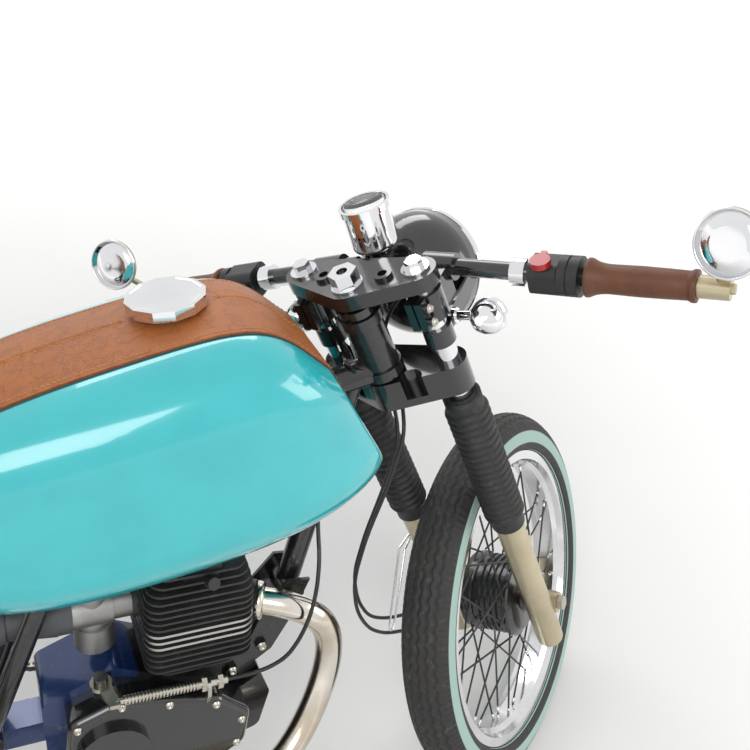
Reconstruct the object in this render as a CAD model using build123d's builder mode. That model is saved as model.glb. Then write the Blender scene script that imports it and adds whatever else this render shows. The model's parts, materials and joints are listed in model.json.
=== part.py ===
"""Cafe racer motorcycle, a small single with a deep round-shouldered tank, clip-on bars and wire wheels.

Millimetres. Chassis pieces are drawn upright, X forward, Y left, Z up, with the rear tyre touching the
ground at the origin. Steering pieces are drawn in the fork's own frame: Z up along the steering axis,
X forward from it, Y left, with the front axle at height zero. The stance section then turns the bars to
their left stop and leans the machine on its side stand, and every piece is placed from there.
"""

from build123d import *
from math import acos, atan2, cos, degrees, hypot, pi, radians, sin, sqrt, tan
import os

os.makedirs("parts", exist_ok=True)

# wheels and tyres
wheelbase = 1300
front_radius = 304
rear_radius = 308
front_tyre_width = 80
rear_tyre_width = 90
rim_lip_radius = 242
rim_half_width = 30
rim_wall = 3.7
spoke_radius = 1.6
spokes_per_set = 9
seat_gap = 0.3
running_gap = 0.1

# steering geometry
rake = 27
fork_ahead = 30
axle_ahead = 56
fork_half_spacing = 80
steer_left_stop = 40
lean = 13

# fork, heights along the steering axis
stanchion_radius = 15.5
slider_radius = 21.5
slider_bottom = -69
slider_top = 254
gaiter_bottom = 232
gaiter_top = 492
gaiter_folds = 15
lower_yoke_bottom = 510
lower_yoke_height = 44
head_tube_bottom = 557
head_tube_top = 655
head_tube_radius = 25
stem_radius = 12.5
top_yoke_bottom = 674
top_yoke_height = 20
fork_cap_top = 708
fit_gap = 0.05

# handlebars, measured out from the middle
bar_radius = 11
bar_root = (87, -38, 662)
bar_tip = (70, -392, 632)
clip_on_bottom = 626
clip_on_height = 40
perch_along = 148
switch_along = 164
housing_along = 206
grip_along = 230
grip_length = 121
bar_end_length = 34
grip_end = grip_along + grip_length

speedo_foot = (86, 0, 690)
speedo_tilt = 6

# axles
front_axle_radius = 8
rear_axle_radius = 8.5
arm_centre = 92
arm_width = 22

# engine
crank_x = 720
crank_z = 290
case_half_width = 48
case_top = 386
barrel_x = 745
fin_pitch = 10
fin_thick = 3.4
barrel_fins = 5
head_fins = 12

# swinging arm and posts
pivot_x = 480
pivot_z = 322
post_half_spacing = 36
arm_radius = 13
rail_radius = 12.5
rail_z = 700
seat_rail_y = 85

# tank
tank_strip_half_width = 75
leather_thick = 2.5
tunnel_half_width = 30
saddle_half_width = 60


def axis_point(height, ahead=0, left=0):
    """A point of the fork's frame, in the upright chassis frame with the bars straight."""
    fork_origin = Vector(
        wheelbase - axle_ahead * cos(radians(rake)), 0, front_radius - axle_ahead * sin(radians(rake))
    )
    forward = Vector(cos(radians(rake)), 0, sin(radians(rake)))
    up = Vector(-sin(radians(rake)), 0, cos(radians(rake)))
    return fork_origin + forward * ahead + up * height + Vector(0, left, 0)


def ground_reach(centre, spin_axis, crown_circle, crown_radius):
    """Height of a leaning tyre's lowest point."""
    return centre.Z - crown_circle * sqrt(1 - spin_axis.Z**2) - crown_radius


# stance: the bars turned to the left stop, the whole machine leaned and pitched onto the floor
fork_place = Location(tuple(axis_point(0)), (0, -rake, 0)) * Location((0, 0, 0), (0, 0, steer_left_stop))
pitch = 0.0
for settle in range(6):
    tip = Location((0, 0, 0), (0, pitch, 0)) * Location((0, 0, 0), (-lean, 0, 0))
    front_centre = (tip * fork_place * Location((axle_ahead, 0, 0))).position
    front_spin = (tip * fork_place * Location((axle_ahead, 1, 0))).position - front_centre
    rear_centre = (tip * Location((0, 0, rear_radius))).position
    rear_spin = (tip * Location((0, 1, rear_radius))).position - rear_centre
    front_low = ground_reach(
        front_centre, front_spin, front_radius - front_tyre_width / 2, front_tyre_width / 2
    )
    rear_low = ground_reach(rear_centre, rear_spin, rear_radius - rear_tyre_width / 2, rear_tyre_width / 2)
    pitch += degrees((front_low - rear_low) / wheelbase)

stance = Location((0, 0, -rear_low)) * tip
steering = stance * fork_place
front_wheel_place = steering * Location((axle_ahead, 0, 0))
rear_wheel_place = stance * Location((0, 0, rear_radius))

finished = {}


def hand_out(name, shape, place=stance):
    """Stand a finished piece in the stance. All are written at the end, about the common origin."""
    finished[name] = place * shape


def together(*shapes):
    """Solids that share one node and don't touch."""
    return Compound(children=[solid for shape in shapes for solid in shape.solids()])


def side_pair(shape):
    """The right-hand piece and its mirror image on the left."""
    return together(shape, mirror(shape, about=Plane.XZ))


def tube_between(start, end, radius):
    """A round bar from one point to another, added to the part being built."""
    start, end = Vector(*start), Vector(*end)
    with BuildSketch(Plane(origin=start, z_dir=end - start)) as section:
        Circle(radius)
    extrude(section.sketch, amount=(end - start).length)


def bent_tube(points, bend, radius, bore=0, mode=Mode.ADD):
    """A round tube along straight runs joined by arcs."""
    with BuildLine() as route:
        FilletPolyline(*points, radius=bend)
    start = route.line @ 0
    with BuildSketch(Plane(origin=start, z_dir=route.line % 0)) as section:
        Circle(radius)
        if bore:
            Circle(bore, mode=Mode.SUBTRACT)
    sweep(section.sketch, path=route.line, mode=mode)


def cable(points, radius):
    """A held cable. Each corner's arc is as large as its two runs allow, up to a gentle bend."""
    runs = [(Vector(*b) - Vector(*a)) for a, b in zip(points, points[1:])]
    bends = [
        min(260, 0.45 * min(a.length, b.length) / tan(radians(a.get_angle(b)) / 2))
        for a, b in zip(runs, runs[1:])
    ]
    with BuildPart() as made:
        with BuildLine() as route:
            FilletPolyline(*points, radius=bends)
        with BuildSketch(Plane(origin=route.line @ 0, z_dir=route.line % 0)):
            Circle(radius)
        sweep(path=route.line)
    length = sum(edge.length for edge in route.line.edges())
    print("cable length", round(length), "tightest bend", round(min(bends)))
    return made.part


# wire wheels, drawn about the Y axis through the origin
def tyre(radius, width):
    crown = width / 2
    centre = radius - crown
    bead = rim_lip_radius + 2
    bead_y = sqrt(crown**2 - (centre - bead) ** 2)
    inner_y = rim_half_width - rim_wall - seat_gap
    seat = rim_lip_radius - 11
    with BuildPart() as made:
        with BuildSketch(Plane.XY):
            with BuildLine():
                ThreePointArc((bead, -bead_y), (radius, 0), (bead, bead_y))
                Polyline(
                    (bead, bead_y), (bead - 1, inner_y), (seat, inner_y), (seat, -inner_y), (bead - 1, -inner_y), (bead, -bead_y)
                )
            make_face()
        revolve(axis=Axis.Y)
    return made.part


def rim():
    lip = rim_lip_radius
    out_y = rim_half_width
    in_y = rim_half_width - rim_wall
    seat = lip - 11 - seat_gap
    outer = [(lip, out_y), (lip, in_y), (seat, in_y), (seat - 2.7, 18), (seat - 8.7, 12)]
    inner = [(seat - 13.7, 13), (seat - 6.7, 20), (seat - 2.7, out_y)]
    right_outer = [(r, -y) for r, y in reversed(outer)]
    right_inner = [(r, -y) for r, y in reversed(inner)]
    with BuildPart() as made:
        with BuildSketch(Plane.XY):
            with BuildLine():
                Polyline(*outer, *right_outer, *right_inner, *inner, close=True)
            make_face()
        revolve(axis=Axis.Y)
    return made.part


rim_inside = rim_lip_radius - 11 - seat_gap - 13.7


def spokes(hub_radius, hub_outer_y, hub_inner_y):
    """Four sets of nine: on each side, one set leads and one trails."""
    lead = 46
    reach = rim_inside - seat_gap - 0.3
    with BuildPart() as made:
        for side, hub_y, rim_y, swing, clock in (
            # side, height at the hub, height at the rim, lead, first spoke
            (1, hub_outer_y, 8, lead, 0),
            (1, hub_inner_y, 3.5, -lead, 20),
            (-1, hub_outer_y, 8, -lead, 10),
            (-1, hub_inner_y, 3.5, lead, 30),
        ):
            head_radius = hub_radius + seat_gap + spoke_radius
            for count in range(spokes_per_set):
                turn = clock + 360 / spokes_per_set * count
                head = Vector(head_radius, side * hub_y, 0).rotate(Axis.Y, turn)
                nipple = Vector(reach, side * rim_y, 0).rotate(Axis.Y, turn + swing)
                tube_between(head, nipple, spoke_radius)
    return made.part


front_hub_radius = 66
with BuildPart() as front_hub:
    with BuildSketch(Plane.XY):
        with BuildLine():
            Polyline(
                (front_axle_radius + running_gap, -50),
                (22, -50),
                (26, -44),
                (54, -42),
                (front_hub_radius - 2, -37),
                (front_hub_radius, -34),
                (front_hub_radius, -29),
                (60, -25),
                (60, 25),
                (front_hub_radius, 29),
                (front_hub_radius, 37),
                (front_axle_radius + running_gap, 37),
                close=True,
            )
        make_face()
    revolve(axis=Axis.Y)
    with BuildSketch(Plane.XY):
        for rib_y in (-15, -5, 5, 15):
            with Locations((60 + 1, rib_y)):
                Rectangle(6, 2.4)
    revolve(axis=Axis.Y)

rear_hub_radius = 72
chain_pitch = 12.7
sprocket_teeth = 40
chain_y = 58
sprocket_thick = 5
roller_radius = 4.2
sprocket_radius = chain_pitch / 2 / sin(pi / sprocket_teeth)
with BuildPart() as rear_hub:
    with BuildSketch(Plane.XY):
        with BuildLine():
            Polyline(
                (rear_axle_radius + running_gap, -37),
                (rear_hub_radius, -37),
                (rear_hub_radius, -29),
                (65, -25),
                (65, 25),
                (rear_hub_radius, 29),
                (rear_hub_radius, 35),
                (52, 38),
                (50, chain_y - sprocket_thick / 2),
                (31.7, chain_y - sprocket_thick / 2),
                (31.7, 66),
                (rear_axle_radius + running_gap, 66),
                close=True,
            )
        make_face()
    revolve(axis=Axis.Y)

sprocket_tip = sprocket_radius - roller_radius - seat_gap
with BuildPart() as rear_sprocket:
    with BuildSketch(Plane.XZ.offset(-chain_y + sprocket_thick / 2)):
        Circle(sprocket_tip)
        with PolarLocations(sprocket_tip + 0.6, sprocket_teeth):
            Circle(roller_radius, mode=Mode.SUBTRACT)
        Circle(32, mode=Mode.SUBTRACT)
        with PolarLocations(58, 5):
            SlotOverall(34, 15, rotation=90, mode=Mode.SUBTRACT)
    extrude(amount=-sprocket_thick)

hand_out("front_tyre", tyre(front_radius, front_tyre_width), front_wheel_place)
hand_out("front_rim", rim(), front_wheel_place)
hand_out("front_spokes", spokes(front_hub_radius, 35, 30.5), front_wheel_place)
hand_out("front_hub", front_hub.part, front_wheel_place)
hand_out("rear_tyre", tyre(rear_radius, rear_tyre_width), rear_wheel_place)
hand_out("rear_rim", rim(), rear_wheel_place)
hand_out("rear_spokes", spokes(rear_hub_radius, 34, 30), rear_wheel_place)
with BuildPart() as rear_hub_unit:
    add(rear_hub.part)
    add(rear_sprocket.part)
hand_out("rear_hub", rear_hub_unit.part, rear_wheel_place)

# front fork, drawn in the fork's own frame; the right-hand leg is mirrored
with BuildPart() as stanchion:
    with Locations((fork_ahead, -fork_half_spacing, gaiter_bottom + 8)):
        Cylinder(
            stanchion_radius, top_yoke_bottom + top_yoke_height + 3 - gaiter_bottom - 8, align=(Align.CENTER, Align.CENTER, Align.MIN)
        )
    with Locations((fork_ahead, -fork_half_spacing, top_yoke_bottom + top_yoke_height + seat_gap)):
        Cylinder(17.5, 3.2, align=(Align.CENTER, Align.CENTER, Align.MIN))
    with BuildSketch(Plane.XY.offset(top_yoke_bottom + top_yoke_height + 3)):
        with Locations((fork_ahead, -fork_half_spacing)):
            RegularPolygon(11, 6)
    extrude(amount=fork_cap_top - top_yoke_bottom - top_yoke_height - 3)
hand_out("fork_tubes", side_pair(stanchion.part), steering)

slider_lug_radius = 17
lug_inner = 60
lug_outer = 101
with BuildPart() as slider:
    with BuildSketch(Plane.XY.offset(slider_bottom)):
        with Locations((fork_ahead, -fork_half_spacing)):
            Circle(slider_radius)
    extrude(amount=slider_top - slider_bottom)
    fillet(slider.edges().group_by(Axis.Z)[0], 6)
    with BuildSketch(Plane.XZ.offset(lug_inner)):
        with Locations((axle_ahead, 0)):
            Circle(slider_lug_radius)
    extrude(amount=lug_outer - lug_inner)
    with BuildSketch(Plane.XZ.offset(fork_half_spacing + 12)):
        with Locations((fork_ahead + 20, 165)):
            Circle(8)
    extrude(amount=-24)
    with BuildSketch(Plane.XY.offset(gaiter_bottom + 8)):
        with Locations((fork_ahead, -fork_half_spacing)):
            Circle(stanchion_radius + fit_gap)
    extrude(amount=40, mode=Mode.SUBTRACT)
    with BuildSketch(Plane.XZ.offset(lug_inner - 1)):
        with Locations((axle_ahead, 0)):
            Circle(front_axle_radius + fit_gap)
    extrude(amount=lug_outer - lug_inner + 2, mode=Mode.SUBTRACT)
hand_out("fork_sliders", side_pair(slider.part), steering)

cuff_radius = slider_radius + 3.5
fold_outer = 30.5
fold_inner = 26
cuff_height = 24
collar_height = 26
fold_pitch = (gaiter_top - gaiter_bottom - cuff_height - collar_height) / gaiter_folds
fold_corners = []
for fold in range(gaiter_folds):
    foot = gaiter_bottom + cuff_height + fold * fold_pitch
    fold_corners += [(fold_inner, foot), (fold_outer, foot + fold_pitch * 0.35), (fold_outer, foot + fold_pitch * 0.65)]
with BuildPart() as gaiter:
    with BuildSketch(Plane.XZ):
        with BuildLine():
            Polyline(
                (slider_radius + seat_gap, gaiter_bottom),
                (cuff_radius, gaiter_bottom),
                (cuff_radius, gaiter_bottom + cuff_height - 3),
                *fold_corners,
                (fold_inner, gaiter_top - collar_height),
                (fold_inner, gaiter_top),
                (stanchion_radius + seat_gap, gaiter_top),
                (stanchion_radius + seat_gap, slider_top + 2),
                (slider_radius + seat_gap, slider_top + 2),
                close=True,
            )
        make_face()
    revolve(axis=Axis.Z)
gaiter_leg = Location((fork_ahead, -fork_half_spacing, 0)) * gaiter.part
hand_out("fork_gaiters", side_pair(gaiter_leg), steering)

with BuildPart() as front_axle:
    with BuildSketch(Plane.XZ.offset(-lug_outer - 9)):
        with Locations((axle_ahead, 0)):
            Circle(front_axle_radius)
    extrude(amount=2 * lug_outer + 16)
    for face_y in (-lug_outer - seat_gap, lug_outer + seat_gap + 9):
        with BuildSketch(Plane.XZ.offset(-face_y)):
            with Locations((axle_ahead, 0)):
                RegularPolygon(12.5, 6)
        extrude(amount=9)
    with BuildSketch(Plane.XZ.offset(50 + seat_gap)):
        with Locations((axle_ahead, 0)):
            Circle(14)
    extrude(amount=lug_inner - 50 - 2 * seat_gap)
hand_out("front_axle", front_axle.part, steering)

plate_inner = 38
with BuildPart() as brake_plate:
    with BuildSketch(Plane.XZ.offset(-plate_inner)):
        with Locations((axle_ahead, 0)):
            Circle(62)
    extrude(amount=-9)
    with BuildSketch(Plane.XZ.offset(-plate_inner - 9)):
        with Locations((axle_ahead, 0)):
            Circle(20)
    extrude(amount=-(lug_inner - seat_gap - plate_inner - 9))
    with BuildSketch(Plane.XZ.offset(-plate_inner - 9)):
        with Locations((axle_ahead - 30, 30)):
            Circle(9)
    extrude(amount=-9)
    with BuildSketch(Plane.XZ.offset(-plate_inner - 11)):
        with Locations((axle_ahead - 58, 26)):
            SlotOverall(70, 14, rotation=8)
    extrude(amount=-5)
    with BuildSketch(Plane.XZ.offset(-plate_inner + 1)):
        with Locations((axle_ahead, 0)):
            Circle(front_axle_radius + fit_gap)
    extrude(amount=-40, mode=Mode.SUBTRACT)
hand_out("front_brake_plate", brake_plate.part, steering)

# yokes
with BuildPart() as top_yoke:
    with BuildSketch(Plane.XY.offset(top_yoke_bottom)):
        with BuildLine():
            CenterArc((fork_ahead, -fork_half_spacing), 25, 0, 360)
            CenterArc((fork_ahead, fork_half_spacing), 25, 0, 360)
            CenterArc((0, 0), 27, 0, 360)
        make_hull()
    extrude(amount=top_yoke_height)
    with Locations((fork_ahead, -fork_half_spacing, top_yoke_bottom), (fork_ahead, fork_half_spacing, top_yoke_bottom)):
        Cylinder(
            stanchion_radius + fit_gap, top_yoke_height * 3, align=(Align.CENTER, Align.CENTER, Align.CENTER), mode=Mode.SUBTRACT
        )
    with Locations((0, 0, top_yoke_bottom)):
        Cylinder(stem_radius + fit_gap, top_yoke_height * 3, mode=Mode.SUBTRACT)
    for riser_y in (-42, 42):
        with BuildSketch(Plane.XY.offset(top_yoke_bottom + top_yoke_height)):
            with Locations((17, riser_y)):
                Circle(12)
        extrude(amount=5)
        with BuildSketch(Plane.XY.offset(top_yoke_bottom - 1)):
            with Locations((17, riser_y)):
                Circle(6)
        extrude(amount=top_yoke_height + 8, mode=Mode.SUBTRACT)
    with BuildSketch(Plane.XY.offset(top_yoke_bottom)):
        with Locations((62, 0)):
            RectangleRounded(76, 30, 6)
        with Locations((0, 0)):
            Circle(26, mode=Mode.SUBTRACT)
    extrude(amount=5)
    with BuildSketch(Plane.XY.offset(top_yoke_bottom + 4)):
        with Locations((84, 0)):
            Circle(12)
    extrude(amount=speedo_foot[2] - top_yoke_bottom - 5.6)
hand_out("top_yoke", top_yoke.part, steering)

nut_bottom = top_yoke_bottom + top_yoke_height + seat_gap
with BuildPart() as stem_nut:
    with BuildSketch(Plane.XY.offset(nut_bottom)):
        Circle(20)
    extrude(amount=3)
    with BuildSketch(Plane.XY.offset(nut_bottom + 3)):
        RegularPolygon(18.5, 6)
    extrude(amount=18)
    with BuildSketch(Plane.XY.offset(nut_bottom)):
        Circle(stem_radius + fit_gap)
    extrude(amount=8, mode=Mode.SUBTRACT)
    with BuildSketch(Plane.XY.offset(nut_bottom + 8)):
        Circle(7)
    extrude(amount=20, mode=Mode.SUBTRACT)
hand_out("stem_nut", stem_nut.part, steering)

with BuildPart() as bottom_yoke:
    with BuildSketch(Plane.XY.offset(lower_yoke_bottom)):
        with BuildLine():
            CenterArc((fork_ahead, -fork_half_spacing), 24, 0, 360)
            CenterArc((fork_ahead, fork_half_spacing), 24, 0, 360)
            CenterArc((0, 0), 29, 0, 360)
        make_hull()
    extrude(amount=lower_yoke_height)
    for side in (-1, 1):
        with Locations((fork_ahead, side * fork_half_spacing, lower_yoke_bottom)):
            Cylinder(stanchion_radius + fit_gap, lower_yoke_height * 3, mode=Mode.SUBTRACT)
        with BuildSketch(Plane.XY.offset(lower_yoke_bottom + 12)):
            with Locations((-8, side * 42)):
                Circle(15)
        extrude(amount=lower_yoke_height, mode=Mode.SUBTRACT)
    with BuildSketch(Plane.XY.offset(lower_yoke_bottom + 6)):
        Circle(stem_radius)
    extrude(amount=top_yoke_bottom + top_yoke_height - lower_yoke_bottom - 4)
    with BuildSketch(Plane.XY.offset(head_tube_top + 2)):
        Circle(25)
        with PolarLocations(25, 4):
            Rectangle(5, 6, mode=Mode.SUBTRACT)
    extrude(amount=11)
hand_out("bottom_yoke", bottom_yoke.part, steering)

# clip-on bars: a split clamp on the fork tube, an arm forward and the bar itself
bar_direction = (Vector(*bar_tip) - Vector(*bar_root)).normalized()
bar_plane = Plane(origin=bar_root, x_dir=(1, 0, 0), z_dir=bar_direction)
bar_place = Location(bar_plane)
clip_on_middle = clip_on_bottom + clip_on_height / 2
with BuildPart() as clip_on:
    with BuildSketch(Plane.XY.offset(clip_on_bottom)):
        with Locations((fork_ahead, -fork_half_spacing)):
            Circle(23)
        with Locations((fork_ahead - 24, -fork_half_spacing)):
            Rectangle(20, 22)
        with Locations((fork_ahead + 28, -fork_half_spacing)):
            Rectangle(36, 30)
    extrude(amount=clip_on_height)
    with BuildSketch(Plane.XY.offset(clip_on_bottom - 1)):
        with Locations((fork_ahead, -fork_half_spacing)):
            Circle(stanchion_radius + fit_gap)
        with Locations((fork_ahead - 26, -fork_half_spacing)):
            Rectangle(26, 2.5)
    extrude(amount=clip_on_height + 2, mode=Mode.SUBTRACT)
    with BuildSketch(bar_plane.offset(22)):
        Circle(17)
    extrude(amount=42)
    with BuildSketch(bar_plane):
        Circle(bar_radius)
    extrude(amount=grip_end)
    for bolt_height in (10, 30):
        with BuildSketch(Plane.XZ.offset(fork_half_spacing + 11)):
            with Locations((fork_ahead - 27, clip_on_bottom + bolt_height)):
                Circle(5.5)
        extrude(amount=6)
hand_out("clip_ons", side_pair(clip_on.part), steering)

# what sits on the bar, drawn along it from its root and mirrored for the left
with BuildPart() as grip:
    with BuildSketch(Plane.XZ):
        with BuildLine():
            Polyline(
                (bar_radius + seat_gap, grip_along),
                (23, grip_along),
                (23, grip_along + 4),
                (18.5, grip_along + 14),
                (16.6, grip_along + 24),
                (17.6, grip_along + 60),
                (16.6, grip_end - 14),
                (16.6, grip_end - 7),
                (18.6, grip_end - 6),
                (18.6, grip_end),
                (bar_radius + seat_gap, grip_end),
                close=True,
            )
        make_face()
    revolve(axis=Axis.Z)
grip_right = bar_place * grip.part
hand_out("grips", side_pair(grip_right), steering)

mirror_radius = 37
mirror_centre = (48, -428, 702)
mirror_look = (-0.86, 0.22, 0.46)
with BuildPart() as bar_end:
    with BuildSketch(bar_plane.offset(grip_end + seat_gap)):
        Circle(13)
    extrude(amount=bar_end_length)
    with BuildSketch(bar_plane.offset(grip_end + bar_end_length)):
        RegularPolygon(6, 6)
    extrude(amount=5)
end_middle = Vector(*bar_root) + bar_direction * (grip_end + 23)
look = Vector(*mirror_look).normalized()
rim_plane = Plane(origin=Vector(*mirror_centre), z_dir=look)
stalk_top = Vector(*mirror_centre) - look * 9 - Vector(0, 0, mirror_radius * 0.55)
with BuildPart() as mirror_head:
    with BuildSketch(rim_plane.offset(-11)):
        Circle(mirror_radius - 12)
    with BuildSketch(rim_plane.offset(-2)):
        Circle(mirror_radius)
    loft()
    with BuildSketch(rim_plane.offset(-2)):
        Circle(mirror_radius)
    extrude(amount=3.5)
    tube_between(end_middle + Vector(0, 0, 10), stalk_top, 4.5)
    with Locations(tuple(stalk_top)):
        Sphere(7.5)
with BuildPart() as mirror_unit:
    add(bar_end.part)
    add(mirror_head.part)
hand_out("bar_end_mirrors", side_pair(mirror_unit.part), steering)

lever_drop = 42
with BuildPart() as perch:
    with BuildSketch(Plane.XY.offset(perch_along - 9)):
        Circle(17)
        with Locations(Location((22, 0, 0), (0, 0, 0))):
            Rectangle(34, 16)
        Circle(bar_radius + fit_gap, mode=Mode.SUBTRACT)
    extrude(amount=18)
    with BuildSketch(Plane.XZ.offset(-7)):
        with Locations((34, perch_along + 4)):
            Circle(11)
    extrude(amount=14)
    with BuildSketch(Plane.XZ.offset(-2.9)):
        with Locations((36, perch_along + 8)):
            Rectangle(30, 22)
    extrude(amount=5.8, mode=Mode.SUBTRACT)
with BuildPart() as lever:
    with BuildSketch(Plane.XZ.offset(-2.5)):
        with BuildLine():
            Polyline(
                (28, perch_along),
                (40, perch_along),
                (58, perch_along + 44),
                (64, perch_along + 90),
                (70, perch_along + 180),
                (62, perch_along + 181),
                (54, perch_along + 92),
                (46, perch_along + 46),
                (34, perch_along + 16),
                (28, perch_along + 10),
                close=True,
            )
        make_face()
    extrude(amount=5)
    with Locations((66, 0, perch_along + 184)):
        Sphere(8)
lever_turn = bar_place * Location((0, 0, 0), (0, 0, -lever_drop))
hand_out("lever_perches", side_pair(lever_turn * perch.part), steering)
hand_out("hand_levers", side_pair(lever_turn * lever.part), steering)

with BuildPart() as throttle_housing:
    with BuildSketch(Plane.XY.offset(switch_along)):
        RectangleRounded(42, 40, 12)
        Circle(bar_radius + fit_gap, mode=Mode.SUBTRACT)
    extrude(amount=34)
    with BuildSketch(Plane.XY.offset(housing_along - 7)):
        Circle(24)
        Circle(bar_radius + fit_gap, mode=Mode.SUBTRACT)
    extrude(amount=24)
    with BuildSketch(Plane.XY.offset(housing_along + 3)):
        Circle(24)
        Circle(22.4, mode=Mode.SUBTRACT)
    extrude(amount=2.5, mode=Mode.SUBTRACT)
button_plane = Plane(origin=(-10, 20 + seat_gap, switch_along + 15), z_dir=(0, 1, 0))
with BuildPart() as kill_switch:
    with BuildSketch(button_plane):
        Circle(12)
        with Locations(Location((0, 11, 0), (0, 0, 0))):
            Rectangle(7, 12)
    extrude(amount=8)
hand_out("kill_switch", bar_place * kill_switch.part, steering)
with BuildPart() as left_switch:
    with BuildSketch(Plane.XY.offset(switch_along)):
        RectangleRounded(44, 40, 12)
        Circle(bar_radius + fit_gap, mode=Mode.SUBTRACT)
    extrude(amount=46)
    for along, size in ((12, 6), (30, 5)):
        with BuildSketch(Plane(origin=(-21.5, 4, switch_along + along), z_dir=(-1, 0, 0))):
            Circle(size)
        extrude(amount=5)
    with BuildSketch(Plane.XY.offset(housing_along + 5)):
        Circle(22)
        Circle(bar_radius + fit_gap, mode=Mode.SUBTRACT)
    extrude(amount=12)
left_switch_placed = mirror(bar_place * left_switch.part, about=Plane.XZ)
hand_out("switchgear", together(bar_place * throttle_housing.part, left_switch_placed), steering)

# speedometer on its bracket ahead of the top yoke
speedo_radius = 30
speedo_length = 58
speedo_plane = Plane(origin=speedo_foot, x_dir=(1, 0, 0), z_dir=(sin(radians(speedo_tilt)), 0, cos(radians(speedo_tilt))))
with BuildPart() as speedometer:
    with BuildSketch(speedo_plane):
        Circle(speedo_radius)
    extrude(amount=speedo_length)
    fillet(speedometer.edges().group_by(Axis.Z)[0], 8)
    with BuildSketch(speedo_plane.offset(speedo_length - 5)):
        Circle(speedo_radius + 3)
    extrude(amount=8)
    with BuildSketch(speedo_plane.offset(speedo_length + 1)):
        Circle(speedo_radius - 1)
    extrude(amount=8, mode=Mode.SUBTRACT)
hand_out("speedometer", speedometer.part, steering)
# headlamp with ears clamped to the fork tubes
lamp_centre = (150, 0, 600)
lamp_radius = 84
lamp_plane = Plane(
    origin=lamp_centre, x_dir=(sin(radians(rake)), 0, cos(radians(rake))), z_dir=(cos(radians(rake)), 0, -sin(radians(rake)))
)
lamp_place = Location(lamp_plane)
with BuildPart() as lamp_shell:
    with BuildSketch(Plane.XZ):
        with BuildLine():
            Line((0, -62), (22, -62))
            ThreePointArc((22, -62), (62, -44), (lamp_radius, 0))
            Polyline((lamp_radius, 0), (lamp_radius, 18.2), (0, 18.2), (0, -62))
        make_face()
    revolve(axis=Axis.Z)
with BuildPart() as lamp_rim:
    with BuildSketch(Plane.XZ):
        with BuildLine():
            Polyline((76, 18.5), (85, 18.5), (86.5, 24), (84, 31), (79, 33), (76, 29), close=True)
        make_face()
    revolve(axis=Axis.Z)
lens_radius = 75.7
lens_edge = 28
lens_crown = 41
lens_bulge = (lens_radius**2 + (lens_crown - lens_edge) ** 2) / (2 * (lens_crown - lens_edge))
lens_middle = lens_radius / 2
lens_arc_height = lens_crown - lens_bulge + sqrt(lens_bulge**2 - lens_middle**2)
with BuildPart() as lamp_lens:
    with BuildSketch(Plane.XZ):
        with BuildLine():
            Polyline((0, lens_crown), (0, 18.5), (lens_radius, 18.5), (lens_radius, lens_edge))
            ThreePointArc((lens_radius, lens_edge), (lens_middle, lens_arc_height), (0, lens_crown))
        make_face()
    revolve(axis=Axis.Z)
hand_out("headlamp_shell", lamp_place * lamp_shell.part, steering)
hand_out("headlamp_rim", lamp_place * lamp_rim.part, steering)
hand_out("headlamp_lens", lamp_place * lamp_lens.part, steering)
ear_y = lamp_radius + seat_gap
ear_height = 584
with BuildPart() as lamp_ear:
    with BuildSketch(Plane.XY.offset(ear_height)):
        with Locations((fork_ahead, -fork_half_spacing)):
            Circle(19.5)
            Circle(stanchion_radius + fit_gap, mode=Mode.SUBTRACT)
    extrude(amount=26)
    with BuildSketch(Plane.XZ.offset(ear_y)):
        with Locations((92, ear_height + 14)):
            SlotOverall(128, 22, rotation=2)
    extrude(amount=4)
    with BuildSketch(Plane.XZ.offset(ear_y + 4)):
        with Locations((lamp_centre[0] - 2, lamp_centre[2])):
            Circle(8)
    extrude(amount=5)
    with BuildSketch(Plane.XY.offset(ear_height - 1)):
        with Locations((fork_ahead, -fork_half_spacing)):
            Circle(stanchion_radius + fit_gap)
    extrude(amount=30, mode=Mode.SUBTRACT)
hand_out("headlamp_ears", side_pair(lamp_ear.part), steering)

signal_root = (62, -(ear_y + 4 + seat_gap), 598)
with BuildPart() as front_signal:
    with BuildSketch(Plane(origin=signal_root, z_dir=(0, -1, 0))):
        Circle(10)
    extrude(amount=5)
    with BuildSketch(Plane(origin=signal_root, z_dir=(0, -1, 0))):
        Circle(6.5)
    extrude(amount=38)
signal_turn = Location((signal_root[0], signal_root[1] - 50, signal_root[2]), (0, 90 + rake, 0))
with BuildPart() as signal_head:
    with BuildSketch(Plane.XZ):
        with BuildLine():
            Line((0, -34), (6, -34))
            ThreePointArc((6, -34), (17, -24), (21, -6))
            Polyline((21, -6), (23, -5), (23, 3), (19, 5))
            ThreePointArc((19, 5), (13, 11.5), (4, 14))
            Polyline((4, 14), (0, 14), (0, -34))
        make_face()
    revolve(axis=Axis.Z)
with BuildPart() as front_signals:
    add(front_signal.part)
    add(signal_turn * signal_head.part)
hand_out("front_signals", side_pair(front_signals.part), steering)

# chrome wire guide on the left slider, with the cables that it leads
guide_radius = 2
guide_y = fork_half_spacing + slider_radius + 6
with BuildPart() as cable_guide:
    with BuildSketch(Plane.XZ.offset(-fork_half_spacing - slider_radius + 1.5)):
        with Locations((fork_ahead, 165)):
            Circle(7)
    extrude(amount=-8)
    bent_tube(
        [
            (fork_ahead, guide_y, 168),
            (fork_ahead - 38, guide_y, 176),
            (fork_ahead - 128, guide_y + 6, 96),
            (fork_ahead - 134, guide_y + 6, 84),
            (fork_ahead - 118, guide_y + 6, 84),
            (fork_ahead - 26, guide_y, 160),
            (fork_ahead, guide_y, 160),
        ],
        3,
        guide_radius,
    )
    with BuildSketch(Plane.XY.offset(slider_bottom)):
        with Locations((fork_ahead, fork_half_spacing)):
            Circle(slider_radius + fit_gap)
    extrude(amount=slider_top - slider_bottom, mode=Mode.SUBTRACT)
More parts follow.
